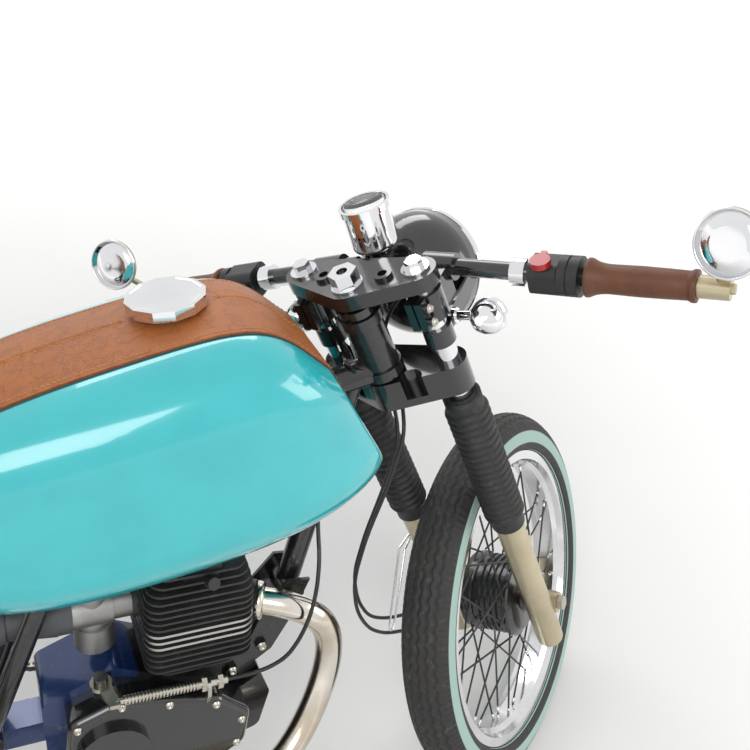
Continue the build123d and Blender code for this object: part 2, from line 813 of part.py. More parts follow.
hand_out("cable_guide", cable_guide.part, steering)

# front brake and speedometer cables, down the left of the fork to the brake plate
cable_radius = 2.8
bar_inner_end = lever_turn * Location((34, 0, perch_along - 9 - seat_gap))
brake_cable_start = tuple(bar_inner_end.position)
brake_cable = cable(
    [
        brake_cable_start,
        (106, -150, 629),
        (105, -112, 634),
        (98, -64, 630),
        (76, -20, 626),
        (62, 8, 596),
        (60, 30, 556),
        (58, 34, 512),
        (44, 24, 466),
        (4, 14, 430),
        (-50, 32, 386),
        (-100, 68, 325),
        (-132, 100, 258),
        (-142, 116, 192),
        (-132, 122, 130),
        (-106, 121, 80),
        (-74, 104, 50),
        (-54, 78, 36),
        (-41, 58, 31),
    ],
    cable_radius,
)
speedometer_cable = cable(
    [
        (86, 19, speedo_foot[2] - 2 * seat_gap),
        (84, 21, 655),
        (74, 34, 612),
        (66, 48, 562),
        (64, 52, 512),
        (50, 44, 462),
        (12, 30, 418),
        (-40, 48, 372),
        (-84, 82, 312),
        (-114, 112, 250),
        (-122, 125, 190),
        (-112, 131, 132),
        (-84, 127, 88),
        (-50, 104, 62),
        (-22, 70, 46),
        (17, 51.5, 38.8),
    ],
    cable_radius,
)
hand_out("control_cables", together(brake_cable, speedometer_cable), steering)

# fuel tank: sections across the machine, lofted from tail to nose. The last ones lean back with the fork,
# so that the nose clears the clamps at both stops.
tank_sections = (
    # x, middle height, height, half width, corner radius, lean back
    (388, 714, 96, 74, 30, 0),
    (440, 698, 196, 116, 54, 0),
    (530, 703, 262, 138, 68, 0),
    (640, 721, 292, 146, 74, 2),
    (750, 742, 300, 146, 76, 6),
    (836, 756, 284, 138, 72, 14),
    (892, 762, 242, 122, 64, 24),
    (927, 765, 186, 98, 50, rake + 5),
)
tank_shoulder_drop = 0.19
tank_crown = 2


def tank_skin(grow):
    """The tank's outside, grown by a skin thickness. Each section is a box with a low roof, its corners rounded."""
    with BuildPart() as made:
        for x, middle, height, half_width, corner, back in tank_sections:
            ahead = (x == tank_sections[-1][0]) * grow - (x == tank_sections[0][0]) * grow
            normal = (cos(radians(back)), 0, sin(radians(back)))
            half, top, low = half_width + grow, height / 2 + grow, -height / 2 - grow
            eaves = top - tank_shoulder_drop * half_width
            bend = corner + grow
            with BuildSketch(Plane(origin=(x + ahead, 0, middle), x_dir=(0, 1, 0), z_dir=normal)):
                with BuildLine():
                    FilletPolyline(
                        (half, low), (half, eaves), (0, top), (-half, eaves), (-half, low),
                        radius=[bend, bend, tank_crown * half_width, bend, bend],
                        close=True,
                    )
                make_face()
        loft()
        ends = [made.faces().sort_by(Axis.X)[0], made.faces().sort_by(Axis.X)[-1]]
        fillet([edge for end in ends for edge in end.edges()], 12 + grow)
    return made.part


cap_x = 719
cap_tilt = 9
cap_seat_z = 882
cap_plane = Plane(
    origin=(cap_x, 0, cap_seat_z),
    x_dir=(cos(radians(cap_tilt)), 0, sin(radians(cap_tilt))),
    z_dir=(-sin(radians(cap_tilt)), 0, cos(radians(cap_tilt))),
)
backbone_front = (951, 0, 770)
backbone_rear = (575, 0, 676)
backbone_radius = 19
backbone_slope = (backbone_front[2] - backbone_rear[2]) / (backbone_front[0] - backbone_rear[0])


def backbone_z(x):
    """Height of the backbone's centre line."""
    return backbone_rear[2] + backbone_slope * (x - backbone_rear[0])


tank_outside = tank_skin(0)
tunnel_clearance = backbone_radius + 12
with BuildPart() as fuel_tank:
    add(tank_outside)
    with BuildSketch(Plane.XZ.offset(-tunnel_half_width)):
        with BuildLine():
            Polyline(
                (350, 550),
                (350, backbone_z(350) + tunnel_clearance),
                (1000, backbone_z(1000) + tunnel_clearance),
                (1000, 550),
                close=True,
            )
        make_face()
    extrude(amount=2 * tunnel_half_width, mode=Mode.SUBTRACT)
    with BuildSketch(Plane.XZ.offset(-saddle_half_width)):
        with BuildLine():
            Polyline((350, 550), (350, rail_z + 18), (640, rail_z + 2), (640, 550), close=True)
        make_face()
    extrude(amount=2 * saddle_half_width, mode=Mode.SUBTRACT)
    with BuildSketch(cap_plane.offset(-12)):
        Circle(33)
    extrude(amount=18)
hand_out("fuel_tank", fuel_tank.part)

leather_rear = 372
leather_front = 894
with BuildPart() as tank_leather:
    add(tank_skin(leather_thick))
    add(tank_outside, mode=Mode.SUBTRACT)
    with BuildSketch(Plane.XZ.offset(-tank_strip_half_width)):
        with BuildLine():
            Polyline(
                (leather_rear, 735), (leather_rear, 920), (966, 920), (966, 786), (leather_front, 786), (700, 760), close=True
            )
        make_face()
    extrude(amount=2 * tank_strip_half_width, mode=Mode.INTERSECT)
    with BuildSketch(cap_plane.offset(-14)):
        Circle(33 + seat_gap)
    extrude(amount=40, mode=Mode.SUBTRACT)
hand_out("tank_leather", tank_leather.part)

cap_sides = 12
cap_radius = 46
cap_height = 15
with BuildPart() as fuel_cap:
    with BuildSketch(cap_plane.offset(6 + seat_gap)):
        RegularPolygon(cap_radius, cap_sides)
    extrude(amount=cap_height)
hand_out("fuel_cap", fuel_cap.part)

# frame: head tube and backbone, one down tube, a seat loop and two posts at the swinging arm
head_plane = Plane(origin=tuple(axis_point(0)), x_dir=(cos(radians(rake)), 0, sin(radians(rake))), z_dir=(-sin(radians(rake)), 0, cos(radians(rake))))
with BuildPart() as frame_backbone:
    with BuildSketch(head_plane.offset(head_tube_bottom)):
        Circle(head_tube_radius)
    extrude(amount=head_tube_top - head_tube_bottom)
    for collar in (head_tube_bottom, head_tube_top - 14):
        with BuildSketch(head_plane.offset(collar)):
            Circle(head_tube_radius + 3)
        extrude(amount=14)
    tube_between((975, 0, backbone_z(975)), backbone_rear, backbone_radius)
    with BuildSketch(head_plane.offset(head_tube_bottom)):
        Circle(60)
    extrude(amount=-60, mode=Mode.SUBTRACT)
    tube_between((backbone_rear[0], -32, backbone_rear[2]), (backbone_rear[0], 32, backbone_rear[2]), rail_radius)
    with BuildSketch(head_plane.offset(head_tube_bottom - 6)):
        Circle(stem_radius + seat_gap)
    extrude(amount=head_tube_top - head_tube_bottom + 12, mode=Mode.SUBTRACT)
hand_out("frame_backbone", frame_backbone.part)

downtube_radius = 16
downtube_top = (957, 0, 787)
downtube_foot = (884, 0, 452)
plate_gap = 28
with BuildPart() as frame_downtube:
    tube_between(downtube_foot, downtube_top, downtube_radius)
    with BuildSketch(Plane.XZ.offset(3)):
        with BuildLine():
            Polyline((944, 728), (922, 640), (862, backbone_z(862)), (940, backbone_z(940)), close=True)
        make_face()
    extrude(amount=-6)
    add(frame_backbone.part, mode=Mode.SUBTRACT)
    for plate_y in (-plate_gap - 5, plate_gap):
        with BuildSketch(Plane.XZ.offset(-plate_y)):
            with BuildLine():
                Polyline((906, 478), (874, 482), (846, 448), (822, 388), (786, 356), (788, 334), (806, 330), (856, 366), (884, 420), close=True)
            make_face()
        extrude(amount=-5)
    with BuildSketch(Plane.XZ.offset(-plate_gap)):
        with Locations((884, 452)):
            Circle(17)
    extrude(amount=2 * plate_gap)
    for bolt_x, bolt_z in ((862, 435), (840, 379), (799, 345)):
        for bolt_y in (-plate_gap - 11, plate_gap + 5):
            with BuildSketch(Plane.XZ.offset(-bolt_y)):
                with Locations((bolt_x, bolt_z)):
                    RegularPolygon(9, 6)
            extrude(amount=-6)
hand_out("frame_downtube", frame_downtube.part)

post_top = (588, 44, 668)
with BuildPart() as frame_posts:
    for side in (-1, 1):
        bent_tube(
            [
                (588, side * 44, rail_z - 26),
                (561, side * 44, 545),
                (500, side * post_half_spacing, 372),
                (pivot_x, side * post_half_spacing, pivot_z),
                (476, side * post_half_spacing, 236),
            ],
            18,
            rail_radius,
        )
        with BuildSketch(Plane.XZ.offset(-side * post_half_spacing - 13)):
            with Locations((pivot_x, pivot_z)):
                Circle(21)
        extrude(amount=26)
    tube_between((476, -post_half_spacing, 246), (476, post_half_spacing, 246), 10)
    with BuildSketch(Plane.XZ.offset(-130)):
        with Locations((pivot_x, pivot_z)):
            Circle(9 + fit_gap)
    extrude(amount=260, mode=Mode.SUBTRACT)
    add(frame_backbone.part, mode=Mode.SUBTRACT)
with BuildPart() as frame_seat_loop:
    bent_tube(
        [
            (606, 44, rail_z - 22),
            (392, 44, rail_z),
            (300, seat_rail_y, rail_z),
            (-30, seat_rail_y, rail_z),
            (-96, seat_rail_y, rail_z + 40),
            (-96, -seat_rail_y, rail_z + 40),
            (-30, -seat_rail_y, rail_z),
            (300, -seat_rail_y, rail_z),
            (392, -44, rail_z),
            (606, -44, rail_z - 22),
        ],
        32,
        rail_radius,
    )
    tube_between((268, -seat_rail_y, rail_z), (268, seat_rail_y, rail_z), 9)
    for side in (-1, 1):
        tube_between((128, side * seat_rail_y, rail_z), (128, side * (seat_rail_y + 26), rail_z), 12)
        tube_between((128, side * seat_rail_y, rail_z), (128, side * (seat_rail_y + 55), rail_z), 6)
    add(frame_posts.part, mode=Mode.SUBTRACT)
    add(frame_backbone.part, mode=Mode.SUBTRACT)
hand_out("frame_seat_loop", frame_seat_loop.part)

# swinging arm, its pivot shaft, the rear axle and the spring units
arm_cross_x = 424
with BuildPart() as swingarm:
    tube_between((pivot_x, -22, pivot_z), (pivot_x, 22, pivot_z), 17)
    tube_between((arm_cross_x, -arm_centre, pivot_z - 2), (arm_cross_x, arm_centre, pivot_z - 2), arm_radius)
    with BuildSketch(Plane.XY.offset(pivot_z - 12)):
        with Locations(((pivot_x + arm_cross_x) / 2, 0)):
            Rectangle(pivot_x - arm_cross_x, 40)
    extrude(amount=22)
    for side in (-1, 1):
        tube_between((arm_cross_x, side * arm_centre, pivot_z - 2), (26, side * arm_centre, rear_radius), arm_radius)
        with Locations((arm_cross_x, side * arm_centre, pivot_z - 2)):
            Sphere(arm_radius)
        with BuildSketch(Plane.XZ.offset(-side * arm_centre - 6)):
            with Locations((4, rear_radius)):
                SlotOverall(76, 40)
        extrude(amount=12)
        tube_between((56, side * arm_centre, rear_radius + 14), (56, side * arm_centre, rear_radius + 42), 9)
        tube_between((56, side * arm_centre, rear_radius + 38), (56, side * (arm_centre + 46), rear_radius + 38), 6)
    with BuildSketch(Plane.XZ.offset(-130)):
        with Locations((pivot_x, pivot_z)):
            Circle(9 + fit_gap)
        with Locations((0, rear_radius)):
            Circle(rear_axle_radius + fit_gap)
    extrude(amount=260, mode=Mode.SUBTRACT)
hand_out("swingarm", swingarm.part)

rearset_y = 110
with BuildPart() as pivot_shaft:
    tube_between((pivot_x, -rearset_y - 6, pivot_z), (pivot_x, rearset_y + 6, pivot_z), 9)
    for side in (-1, 1):
        tube_between((pivot_x, side * (rearset_y + 6), pivot_z), (pivot_x, side * (rearset_y + 15), pivot_z), 15)
        tube_between((pivot_x, side * 50, pivot_z), (pivot_x, side * (rearset_y - seat_gap), pivot_z), 12)

axle_stub = 8
axle_reach = arm_centre + 18 + axle_stub
with BuildPart() as rear_axle:
    tube_between((0, -axle_reach, rear_radius), (0, axle_reach, rear_radius), rear_axle_radius)
    tube_between((0, 66 + seat_gap, rear_radius), (0, arm_centre - 6 - seat_gap, rear_radius), 14)
    tube_between((0, -60 - seat_gap, rear_radius), (0, -arm_centre + 6 + seat_gap, rear_radius), 14)
    for side in (-1, 1):
        tube_between((0, side * (arm_centre + 6 + seat_gap), rear_radius), (0, side * (arm_centre + 18), rear_radius), 15)
hand_out("rear_axle_and_pivot", together(pivot_shaft.part, rear_axle.part))

with BuildPart() as rear_brake_plate:
    tube_between((0, -38, rear_radius), (0, -48, rear_radius), 68)
    tube_between((0, -48, rear_radius), (0, -60, rear_radius), 24)
    with BuildSketch(Plane.XZ.offset(48)):
        with Locations((40, rear_radius - 36)):
            SlotOverall(76, 16, rotation=-40)
    extrude(amount=5)
    with BuildSketch(Plane.XZ.offset(30)):
        with Locations((0, rear_radius)):
            Circle(rear_axle_radius + fit_gap)
    extrude(amount=40, mode=Mode.SUBTRACT)
hand_out("rear_brake_plate", rear_brake_plate.part)

shock_foot = Vector(56, -(arm_centre + 34), rear_radius + 38)
shock_head = Vector(128, -(seat_rail_y + 41), rail_z)
shock_run = (shock_head - shock_foot).normalized()
shock_length = (shock_head - shock_foot).length
spring_coils = 9
spring_radius = 23
spring_wire = 4
spring_start = 62
spring_length = 205
with BuildPart() as shock_right:
    for eye in (shock_foot, shock_head):
        tube_between(eye + Vector(0, 11, 0), eye - Vector(0, 11, 0), 15)
    tube_between(shock_foot + shock_run * 10, shock_foot + shock_run * (spring_start - 4), 17)
    tube_between(shock_foot + shock_run * (spring_start - 6), shock_foot + shock_run * spring_start, 28)
    tube_between(shock_foot + shock_run * spring_start, shock_foot + shock_run * (spring_start + spring_length), 16)
    for coil in range(spring_coils):
        along = spring_start + spring_length * (coil + 0.5) / spring_coils
        with BuildSketch(Plane(origin=shock_foot + shock_run * (along - spring_wire), z_dir=shock_run)):
            Circle(spring_radius + spring_wire)
        extrude(amount=2 * spring_wire)
    tube_between(
        shock_foot + shock_run * (spring_start + spring_length), shock_foot + shock_run * (shock_length - 24), 28
    )
    tube_between(shock_foot + shock_run * (shock_length - 26), shock_foot + shock_run * (shock_length - 10), 15)
    for eye in (shock_foot, shock_head):
        with BuildSketch(Plane.XZ.offset(60)):
            with Locations((eye.X, eye.Z)):
                Circle(6 + fit_gap)
        extrude(amount=120, mode=Mode.SUBTRACT)
hand_out("rear_shocks", side_pair(shock_right.part))

# engine: a low case with side covers, and a finned barrel and head
with BuildPart() as crankcase:
    with BuildSketch(Plane.XZ.offset(-case_half_width)):
        with BuildLine():
            FilletPolyline(
                (852, 300),
                (838, 238),
                (760, 214),
                (600, 222),
                (552, 262),
                (548, 372),
                (640, 410),
                (686, case_top),
                (806, case_top),
                (832, 352),
                radius=14,
                close=True,
            )
        make_face()
    extrude(amount=2 * case_half_width)
    with BuildSketch(Plane.XZ.offset(-plate_gap + seat_gap)):
        with BuildLine():
            Polyline((800, 330), (876, 428), (864, 450), (842, 440), (800, 380), close=True)
        make_face()
    extrude(amount=2 * (plate_gap - seat_gap))
    for side in (-1, 1):
        with BuildSketch(Plane.XZ.offset(side * (plate_gap - seat_gap))):
            with BuildLine():
                Polyline((780, 340), (784, 324), (810, 322), (880, 366), (930, 500), (786, 460), close=True)
            make_face()
        extrude(amount=side * 40, mode=Mode.SUBTRACT)
    with BuildSketch(Plane.XZ.offset(-post_half_spacing + rail_radius + seat_gap)):
        with Locations((520, 300)):
            Rectangle(70, 34)
    extrude(amount=2 * (post_half_spacing - rail_radius - seat_gap))
    with BuildSketch(Plane.XZ.offset(-60)):
        with Locations((476, 246)):
            Circle(16)
        with Locations((pivot_x, pivot_z)):
            Circle(22)
    extrude(amount=120, mode=Mode.SUBTRACT)
hand_out("crankcase", crankcase.part)

cover_gap = case_half_width + seat_gap
with BuildPart() as clutch_cover:
    with BuildSketch(Plane.XZ.offset(cover_gap)):
        with BuildLine():
            FilletPolyline(
                (566, 262), (590, 234), (752, 226), (806, 262), (812, 316), (770, 356), (640, 394), (576, 370), radius=18, close=True
            )
        make_face()
    extrude(amount=44)
    fillet(clutch_cover.faces().sort_by(Axis.Y)[0].edges(), 11)
    tube_between((628, -cover_gap - 40, 310), (628, -cover_gap - 54, 310), 46)
    tube_between((620, -cover_gap - 14, 368), (620, -cover_gap - 14, 416), 9)
with BuildPart() as alternator_cover:
    tube_between((crank_x, cover_gap, crank_z), (crank_x, cover_gap + 42, crank_z), 72)
    fillet(alternator_cover.faces().sort_by(Axis.Y)[-1].edges(), 10)
    tube_between((crank_x, cover_gap + 40, crank_z), (crank_x, cover_gap + 47, crank_z), 34)
hand_out("engine_covers", together(clutch_cover.part, alternator_cover.part))

# clutch arm on its boss, the adjuster in its bracket and the spring between them, with the cable
arm_boss = (620, -cover_gap - 14)
arm_z = 400
arm_end = Vector(632, -98, arm_z + 3)
adjuster_end = Vector(776, -88, 386)
pull = (adjuster_end - arm_end).normalized()
spring_rings = 22
spring_ring_pitch = 4.4
with BuildPart() as clutch_linkage:
    with BuildSketch(Plane.XY.offset(arm_z)):
        with Locations(arm_boss):
            Circle(14)
    extrude(amount=6)
    with BuildSketch(Plane.XY.offset(arm_z)):
        with BuildLine():
            FilletPolyline(
                (arm_boss[0] - 8, arm_boss[1] + 4),
                (arm_boss[0] + 10, arm_boss[1] + 4),
                (arm_end.X + 6, arm_end.Y - 8),
                (arm_end.X - 8, arm_end.Y - 8),
                radius=3,
                close=True,
            )
        make_face()
    extrude(amount=6)
    with BuildSketch(Plane.XY.offset(arm_z - 1)):
        with Locations(arm_boss):
            Circle(9 + fit_gap)
    extrude(amount=8, mode=Mode.SUBTRACT)
    tube_between(arm_end, adjuster_end - pull * 38, 4)
    for ring in range(spring_rings):
        along = 10 + ring * spring_ring_pitch
        tube_between(arm_end + pull * along, arm_end + pull * (along + 2.2), 6.4)
    tube_between(adjuster_end - pull * 40, adjuster_end, 5.5)
    for nut_back in (36, 14):
        with BuildSketch(Plane(origin=adjuster_end - pull * nut_back, z_dir=pull)):
            RegularPolygon(10, 6)
        extrude(amount=7)
    with BuildSketch(Plane.YZ.offset(adjuster_end.X - 28)):
        with BuildLine():
            FilletPolyline((-62, 340), (-62, 376), (-78, 396), (-100, 396), (-100, 374), (-84, 340), radius=5, close=True)
        make_face()
    extrude(amount=5)
    add(clutch_cover.part, mode=Mode.SUBTRACT)
hand_out("clutch_linkage", clutch_linkage.part)
clutch_cable = cable(
    [
        tuple(adjuster_end + pull * seat_gap),
        (801, -86.5, 383.5),
        (831, -88, 387),
        (856, -92, 404),
        (872, -94, 433),
        (884, -94, 468),
        (893, -88, 506),
        (901, -70, 542),
        (906, -44, 571),
        (911, -24, 602),
        (925, -19.2, 642),
        (936, -19.2, 690),
    ],
    cable_radius,
)
hand_out("clutch_cable", clutch_cable)

fin_half_width = 80
fin_half_length = 70
barrel_radius = 50
barrel_top = case_top + fin_pitch * barrel_fins
head_top = barrel_top + fin_pitch * head_fins
with BuildPart() as cylinder_barrel:
    with BuildSketch(Plane.XY.offset(case_top)):
        with Locations((barrel_x, 0)):
            Circle(barrel_radius)
    extrude(amount=barrel_top - case_top)
    for fin in range(barrel_fins):
        narrow = 14 if fin < 2 else 0
        with BuildSketch(Plane.XY.offset(case_top + fin_pitch * (fin + 1) - fin_thick)):
            with Locations((barrel_x, 0)):
                RectangleRounded(2 * (fin_half_length - narrow), 2 * (fin_half_width - narrow), 20)
        extrude(amount=fin_thick)
hand_out("cylinder_barrel", cylinder_barrel.part)
port_z = barrel_top + 30
port_turn = 25
port_out = Vector(cos(radians(port_turn)), -sin(radians(port_turn)), 0)
port_length = 90
port_middle = Vector(barrel_x, 0, port_z)
with BuildPart() as cylinder_head:
    with BuildSketch(Plane.XY.offset(barrel_top)):
        with Locations((barrel_x, 0)):
            RectangleRounded(92, 104, 30)
    extrude(amount=head_top - barrel_top + 8)
    for fin in range(head_fins):
        taper = 1.4 * max(0, fin - 7) ** 1.4
        with BuildSketch(Plane.XY.offset(barrel_top + fin_pitch * (fin + 1) - fin_thick)):
            with Locations((barrel_x, 0)):
                RectangleRounded(2 * (fin_half_length - taper), 2 * (fin_half_width - taper), 20)
        extrude(amount=fin_thick)
    tube_between(port_middle + port_out * 30, port_middle + port_out * port_length, 27)
    tube_between((barrel_x - 30, 0, port_z + 10), (barrel_x - fin_half_length - 6, 0, port_z + 10), 24)
    for side in (-1, 1):
        tube_between((barrel_x, side * 20, head_top + 4), (barrel_x, side * 66, head_top + 4), 26)
    tube_between((barrel_x + 6, -52, head_top - 22), (barrel_x + 12, -84, head_top - 8), 8)
hand_out("cylinder_head", cylinder_head.part)

carb_z = port_z + 10
intake_x = barrel_x - fin_half_length - 6 - seat_gap
with BuildPart() as carburettor:
    tube_between((intake_x, 0, carb_z), (intake_x - 26, 0, carb_z), 21)
    tube_between((intake_x - 24, 0, carb_z), (intake_x - 74, 0, carb_z), 25)
    tube_between((intake_x - 48, 0, carb_z - 54), (intake_x - 48, 0, carb_z + 56), 21)
    tube_between((intake_x - 46, 0, carb_z - 58), (intake_x - 46, 0, carb_z - 22), 26)
    tube_between((intake_x - 48, 0, carb_z + 50), (intake_x - 48, 0, carb_z + 62), 16)
hand_out("carburettor", carburettor.part)
with BuildPart() as air_filter:
    with BuildSketch(Plane.YZ.offset(intake_x - 74 - seat_gap)):
        with Locations((0, carb_z)):
            Circle(28)
    extrude(amount=-18)
    with BuildSketch(Plane.YZ.offset(intake_x - 92 - seat_gap)):
        with Locations((0, carb_z)):
            Circle(29)
    with BuildSketch(Plane.YZ.offset(intake_x - 152)):
        with Locations((0, carb_z)):
            Circle(22)
    loft()
    with BuildSketch(Plane.YZ.offset(intake_x - 152)):
        with Locations((0, carb_z)):
            Circle(25)
    extrude(amount=-8)
hand_out("air_filter", air_filter.part)

header_radius = 19
muffler_front = Vector(520, -138, 212)
muffler_run = (Vector(70, -152, 256) - muffler_front).normalized()
port_face = port_middle + port_out * (port_length + seat_gap)
with BuildPart() as exhaust_header:
    bent_tube(
        [
            tuple(port_face),
            tuple(port_face + port_out * 66),
            (938, -66, 395),
            (905, -84, 268),
            (830, -122, 205),
            tuple(muffler_front - muffler_run * 130),
            tuple(muffler_front - muffler_run * seat_gap),
        ],
        30,
        header_radius,
    )
    tube_between(port_face, port_face + port_out * 10, 26)
    add(cylinder_head.part, mode=Mode.SUBTRACT)
hand_out("exhaust_header", exhaust_header.part)
with BuildPart() as muffler:
    for near, far, near_radius, far_radius in ((0, 40, 24, 24), (40, 120, 24, 43), (120, 380, 43, 43), (380, 440, 43, 30)):
        with BuildSketch(Plane(origin=muffler_front + muffler_run * near, z_dir=muffler_run)):
            Circle(near_radius)
        with BuildSketch(Plane(origin=muffler_front + muffler_run * far, z_dir=muffler_run)):
            Circle(far_radius)
        loft()
    with BuildSketch(Plane(origin=muffler_front + muffler_run * 400, z_dir=muffler_run)):
        Circle(22)
    extrude(amount=60, mode=Mode.SUBTRACT)
    with BuildSketch(Plane.XZ.offset(122)):
        with Locations((396, 276)):
            Rectangle(26, 60)
    extrude(amount=5)
hand_out("muffler", muffler.part)

# front sprocket and the drive chain round both
front_teeth = 15
front_sprocket_x = 580
front_sprocket_z = 306
front_pitch_radius = chain_pitch / 2 / sin(pi / front_teeth)
with BuildPart() as front_sprocket:
    with BuildSketch(Plane.XZ.offset(-chain_y + sprocket_thick / 2)):
        with Locations((front_sprocket_x, front_sprocket_z)):
            Circle(front_pitch_radius - roller_radius - seat_gap)
    extrude(amount=-sprocket_thick)
    tube_between((front_sprocket_x, cover_gap, front_sprocket_z), (front_sprocket_x, chain_y + 12, front_sprocket_z), 14)
chain_half_height = 5.5
with BuildPart() as drive_chain:
    with BuildSketch(Plane.XZ.offset(-chain_y + 6)):
        with BuildLine():
            CenterArc((0, rear_radius), sprocket_radius + chain_half_height, 0, 360)
            CenterArc((front_sprocket_x, front_sprocket_z), front_pitch_radius + chain_half_height, 0, 360)
        make_hull()
    extrude(amount=-12)
    with BuildSketch(Plane.XZ.offset(-chain_y + 7)):
        with BuildLine():
            CenterArc((0, rear_radius), sprocket_radius - roller_radius, 0, 360)
            CenterArc((front_sprocket_x, front_sprocket_z), front_pitch_radius - roller_radius, 0, 360)
        make_hull()
    extrude(amount=-14, mode=Mode.SUBTRACT)
hand_out("drive_chain", together(drive_chain.part, front_sprocket.part))

# seat, fender, battery box, tail lamp and rear signals
seat_base = rail_z + rail_radius + 0.5
seat_half_width = 104
with BuildPart() as seat:
    with BuildSketch(Plane.XZ.offset(-seat_half_width)):
        with BuildLine():
            Polyline((366, seat_base), (366, seat_base + 40), (330, seat_base + 56))
            Polyline((330, seat_base + 56), (60, seat_base + 50), (10, seat_base + 62), (-44, seat_base + 116))
            Polyline((-44, seat_base + 116), (-118, seat_base + 98), (-150, seat_base + 60), (-100, seat_base + 52))
            Polyline((-100, seat_base + 52), (-8, seat_base), (366, seat_base))
        make_face()
    extrude(amount=2 * seat_half_width)
    fillet(seat.edges().filter_by(Axis.Y, reverse=True).filter_by(lambda edge: edge.center().Z > seat_base + 2), 16)
    for side in (-1, 1):
        with BuildSketch(Plane.XY.offset(seat_base - 20)):
            with BuildLine():
                Polyline((400, side * 62), (250, side * 120), (400, side * 120), close=True)
            make_face()
        extrude(amount=120, mode=Mode.SUBTRACT)
hand_out("seat", seat.part)

fender_radius = rear_radius + 24
with BuildPart() as rear_fender:
    with BuildSketch(Plane.XY):
        with BuildLine():
            Polyline(
                (fender_radius, -52), (fender_radius + 12, -34), (fender_radius + 16, 0), (fender_radius + 12, 34),
                (fender_radius, 52), (fender_radius + 2.5, 52), (fender_radius + 14.5, 34), (fender_radius + 18.5, 0),
                (fender_radius + 14.5, -34), (fender_radius + 2.5, -52), close=True
            )
        make_face()
    revolve(axis=Axis.Y, revolution_arc=72)
fender_place = Location((0, 0, rear_radius), (0, -122, 0))
with BuildPart() as rear_fender_set:
    add(fender_place * rear_fender.part)
    for side in (-1, 1):
        with BuildSketch(Plane.XZ.offset(-side * (seat_rail_y - rail_radius - seat_gap - 1.5) - 1.5)):
            with Locations((60, 672)):
                Rectangle(24, 72)
        extrude(amount=3)
        tube_between((60, side * 30, fender_radius + rear_radius + 8), (60, side * (seat_rail_y - rail_radius - 4), fender_radius + rear_radius + 8), 5)
hand_out("rear_fender", rear_fender_set.part)

with BuildPart() as battery_box:
    with BuildSketch(Plane.XY.offset(498)):
        with Locations((414, 0)):
            RectangleRounded(96, 114, 10)
    extrude(amount=150)
    fillet(battery_box.edges().group_by(Axis.Z)[0], 8)
    for side in (-1, 1):
        with BuildSketch(Plane.XZ.offset(-side * 28 - 10)):
            with Locations((430, 664)):
                Rectangle(20, 50)
        extrude(amount=20)
    add(frame_seat_loop.part, mode=Mode.SUBTRACT)
hand_out("battery_box", battery_box.part)

with BuildPart() as tail_lamp:
    with BuildSketch(Plane.YZ.offset(-96 - rail_radius - 0.4)):
        with Locations((0, rail_z + 28)):
            Circle(32)
    extrude(amount=-30)
    fillet(tail_lamp.faces().sort_by(Axis.X)[0].edges(), 8)
hand_out("tail_lamp", tail_lamp.part)
with BuildPart() as rear_signal:
    tube_between((-60, -seat_rail_y - rail_radius - 12.5, rail_z + 16), (-60, -seat_rail_y - 62, rail_z + 16), 6.5)
    tube_between((-60, -seat_rail_y - rail_radius - 0.6, rail_z + 16), (-60, -seat_rail_y - rail_radius - 13, rail_z + 16), 10)
with BuildPart() as rear_signal_unit:
    add(rear_signal.part)
    add(Location((-60, -seat_rail_y - 78, rail_z + 16), (0, -90, 0)) * signal_head.part)
hand_out("rear_signals", side_pair(rear_signal_unit.part))

# footrests with their pedals
rearset_gap = rearset_y + seat_gap
with BuildPart() as rearset:
    with BuildSketch(Plane.XZ.offset(rearset_y)):
        with BuildLine():
            Polyline((pivot_x + 22, 340), (pivot_x + 22, 300), (400, 296), (372, 352), (392, 376), (430, 372), close=True)
        make_face()
    extrude(amount=6)
    with BuildSketch(Plane.XZ.offset(rearset_y - 1)):
        with Locations((pivot_x, pivot_z)):
            Circle(9 + fit_gap)
    extrude(amount=8, mode=Mode.SUBTRACT)
    tube_between((396, -rearset_y - 5, 356), (396, -rearset_y - 96, 356), 11)
    tube_between((396, -rearset_y - 94, 356), (396, -rearset_y - 98, 356), 15)
    tube_between((424, -rearset_y - 5, 334), (424, -rearset_y - 30, 334), 11)
    tube_between((424, -rearset_y - 23, 334), (548, -rearset_y - 25, 330), 6)
    tube_between((548, -rearset_y - 17, 330), (548, -rearset_y - 57, 330), 9)
hand_out("rearsets", side_pair(rearset.part))

# side stand: its hinge leans so that the leg folds back along the machine
stand_pivot = Vector(560, 78, 232)
stand_shoe_radius = 11
stand_foot = Vector(618, 236, 57)
foot_height = (stance * Location(tuple(stand_foot))).position.Z
stand_foot += Vector(0, 0, (stand_shoe_radius - foot_height) / cos(radians(lean)))
stand_folded = Vector(-0.985, 0.15, 0.09).normalized()
stand_down = (stand_foot - stand_pivot).normalized()
stand_axis = stand_down.cross(stand_folded).normalized()
stand_swing = stand_down.get_angle(stand_folded)
with BuildPart() as posts_with_bracket:
    add(frame_posts.part)
    tube_between(stand_pivot - stand_axis * 24, stand_pivot - stand_axis * 10.5, 15)
    tube_between(stand_pivot - stand_axis * 24, stand_pivot + stand_axis * 12, 6)
    tube_between(Vector(476, post_half_spacing, 246), stand_pivot - stand_axis * 21, 8)
    tube_between(Vector(596, 30, 236), stand_pivot - stand_axis * 21, 8)
    add(crankcase.part, mode=Mode.SUBTRACT)
hand_out("frame_posts", posts_with_bracket.part)
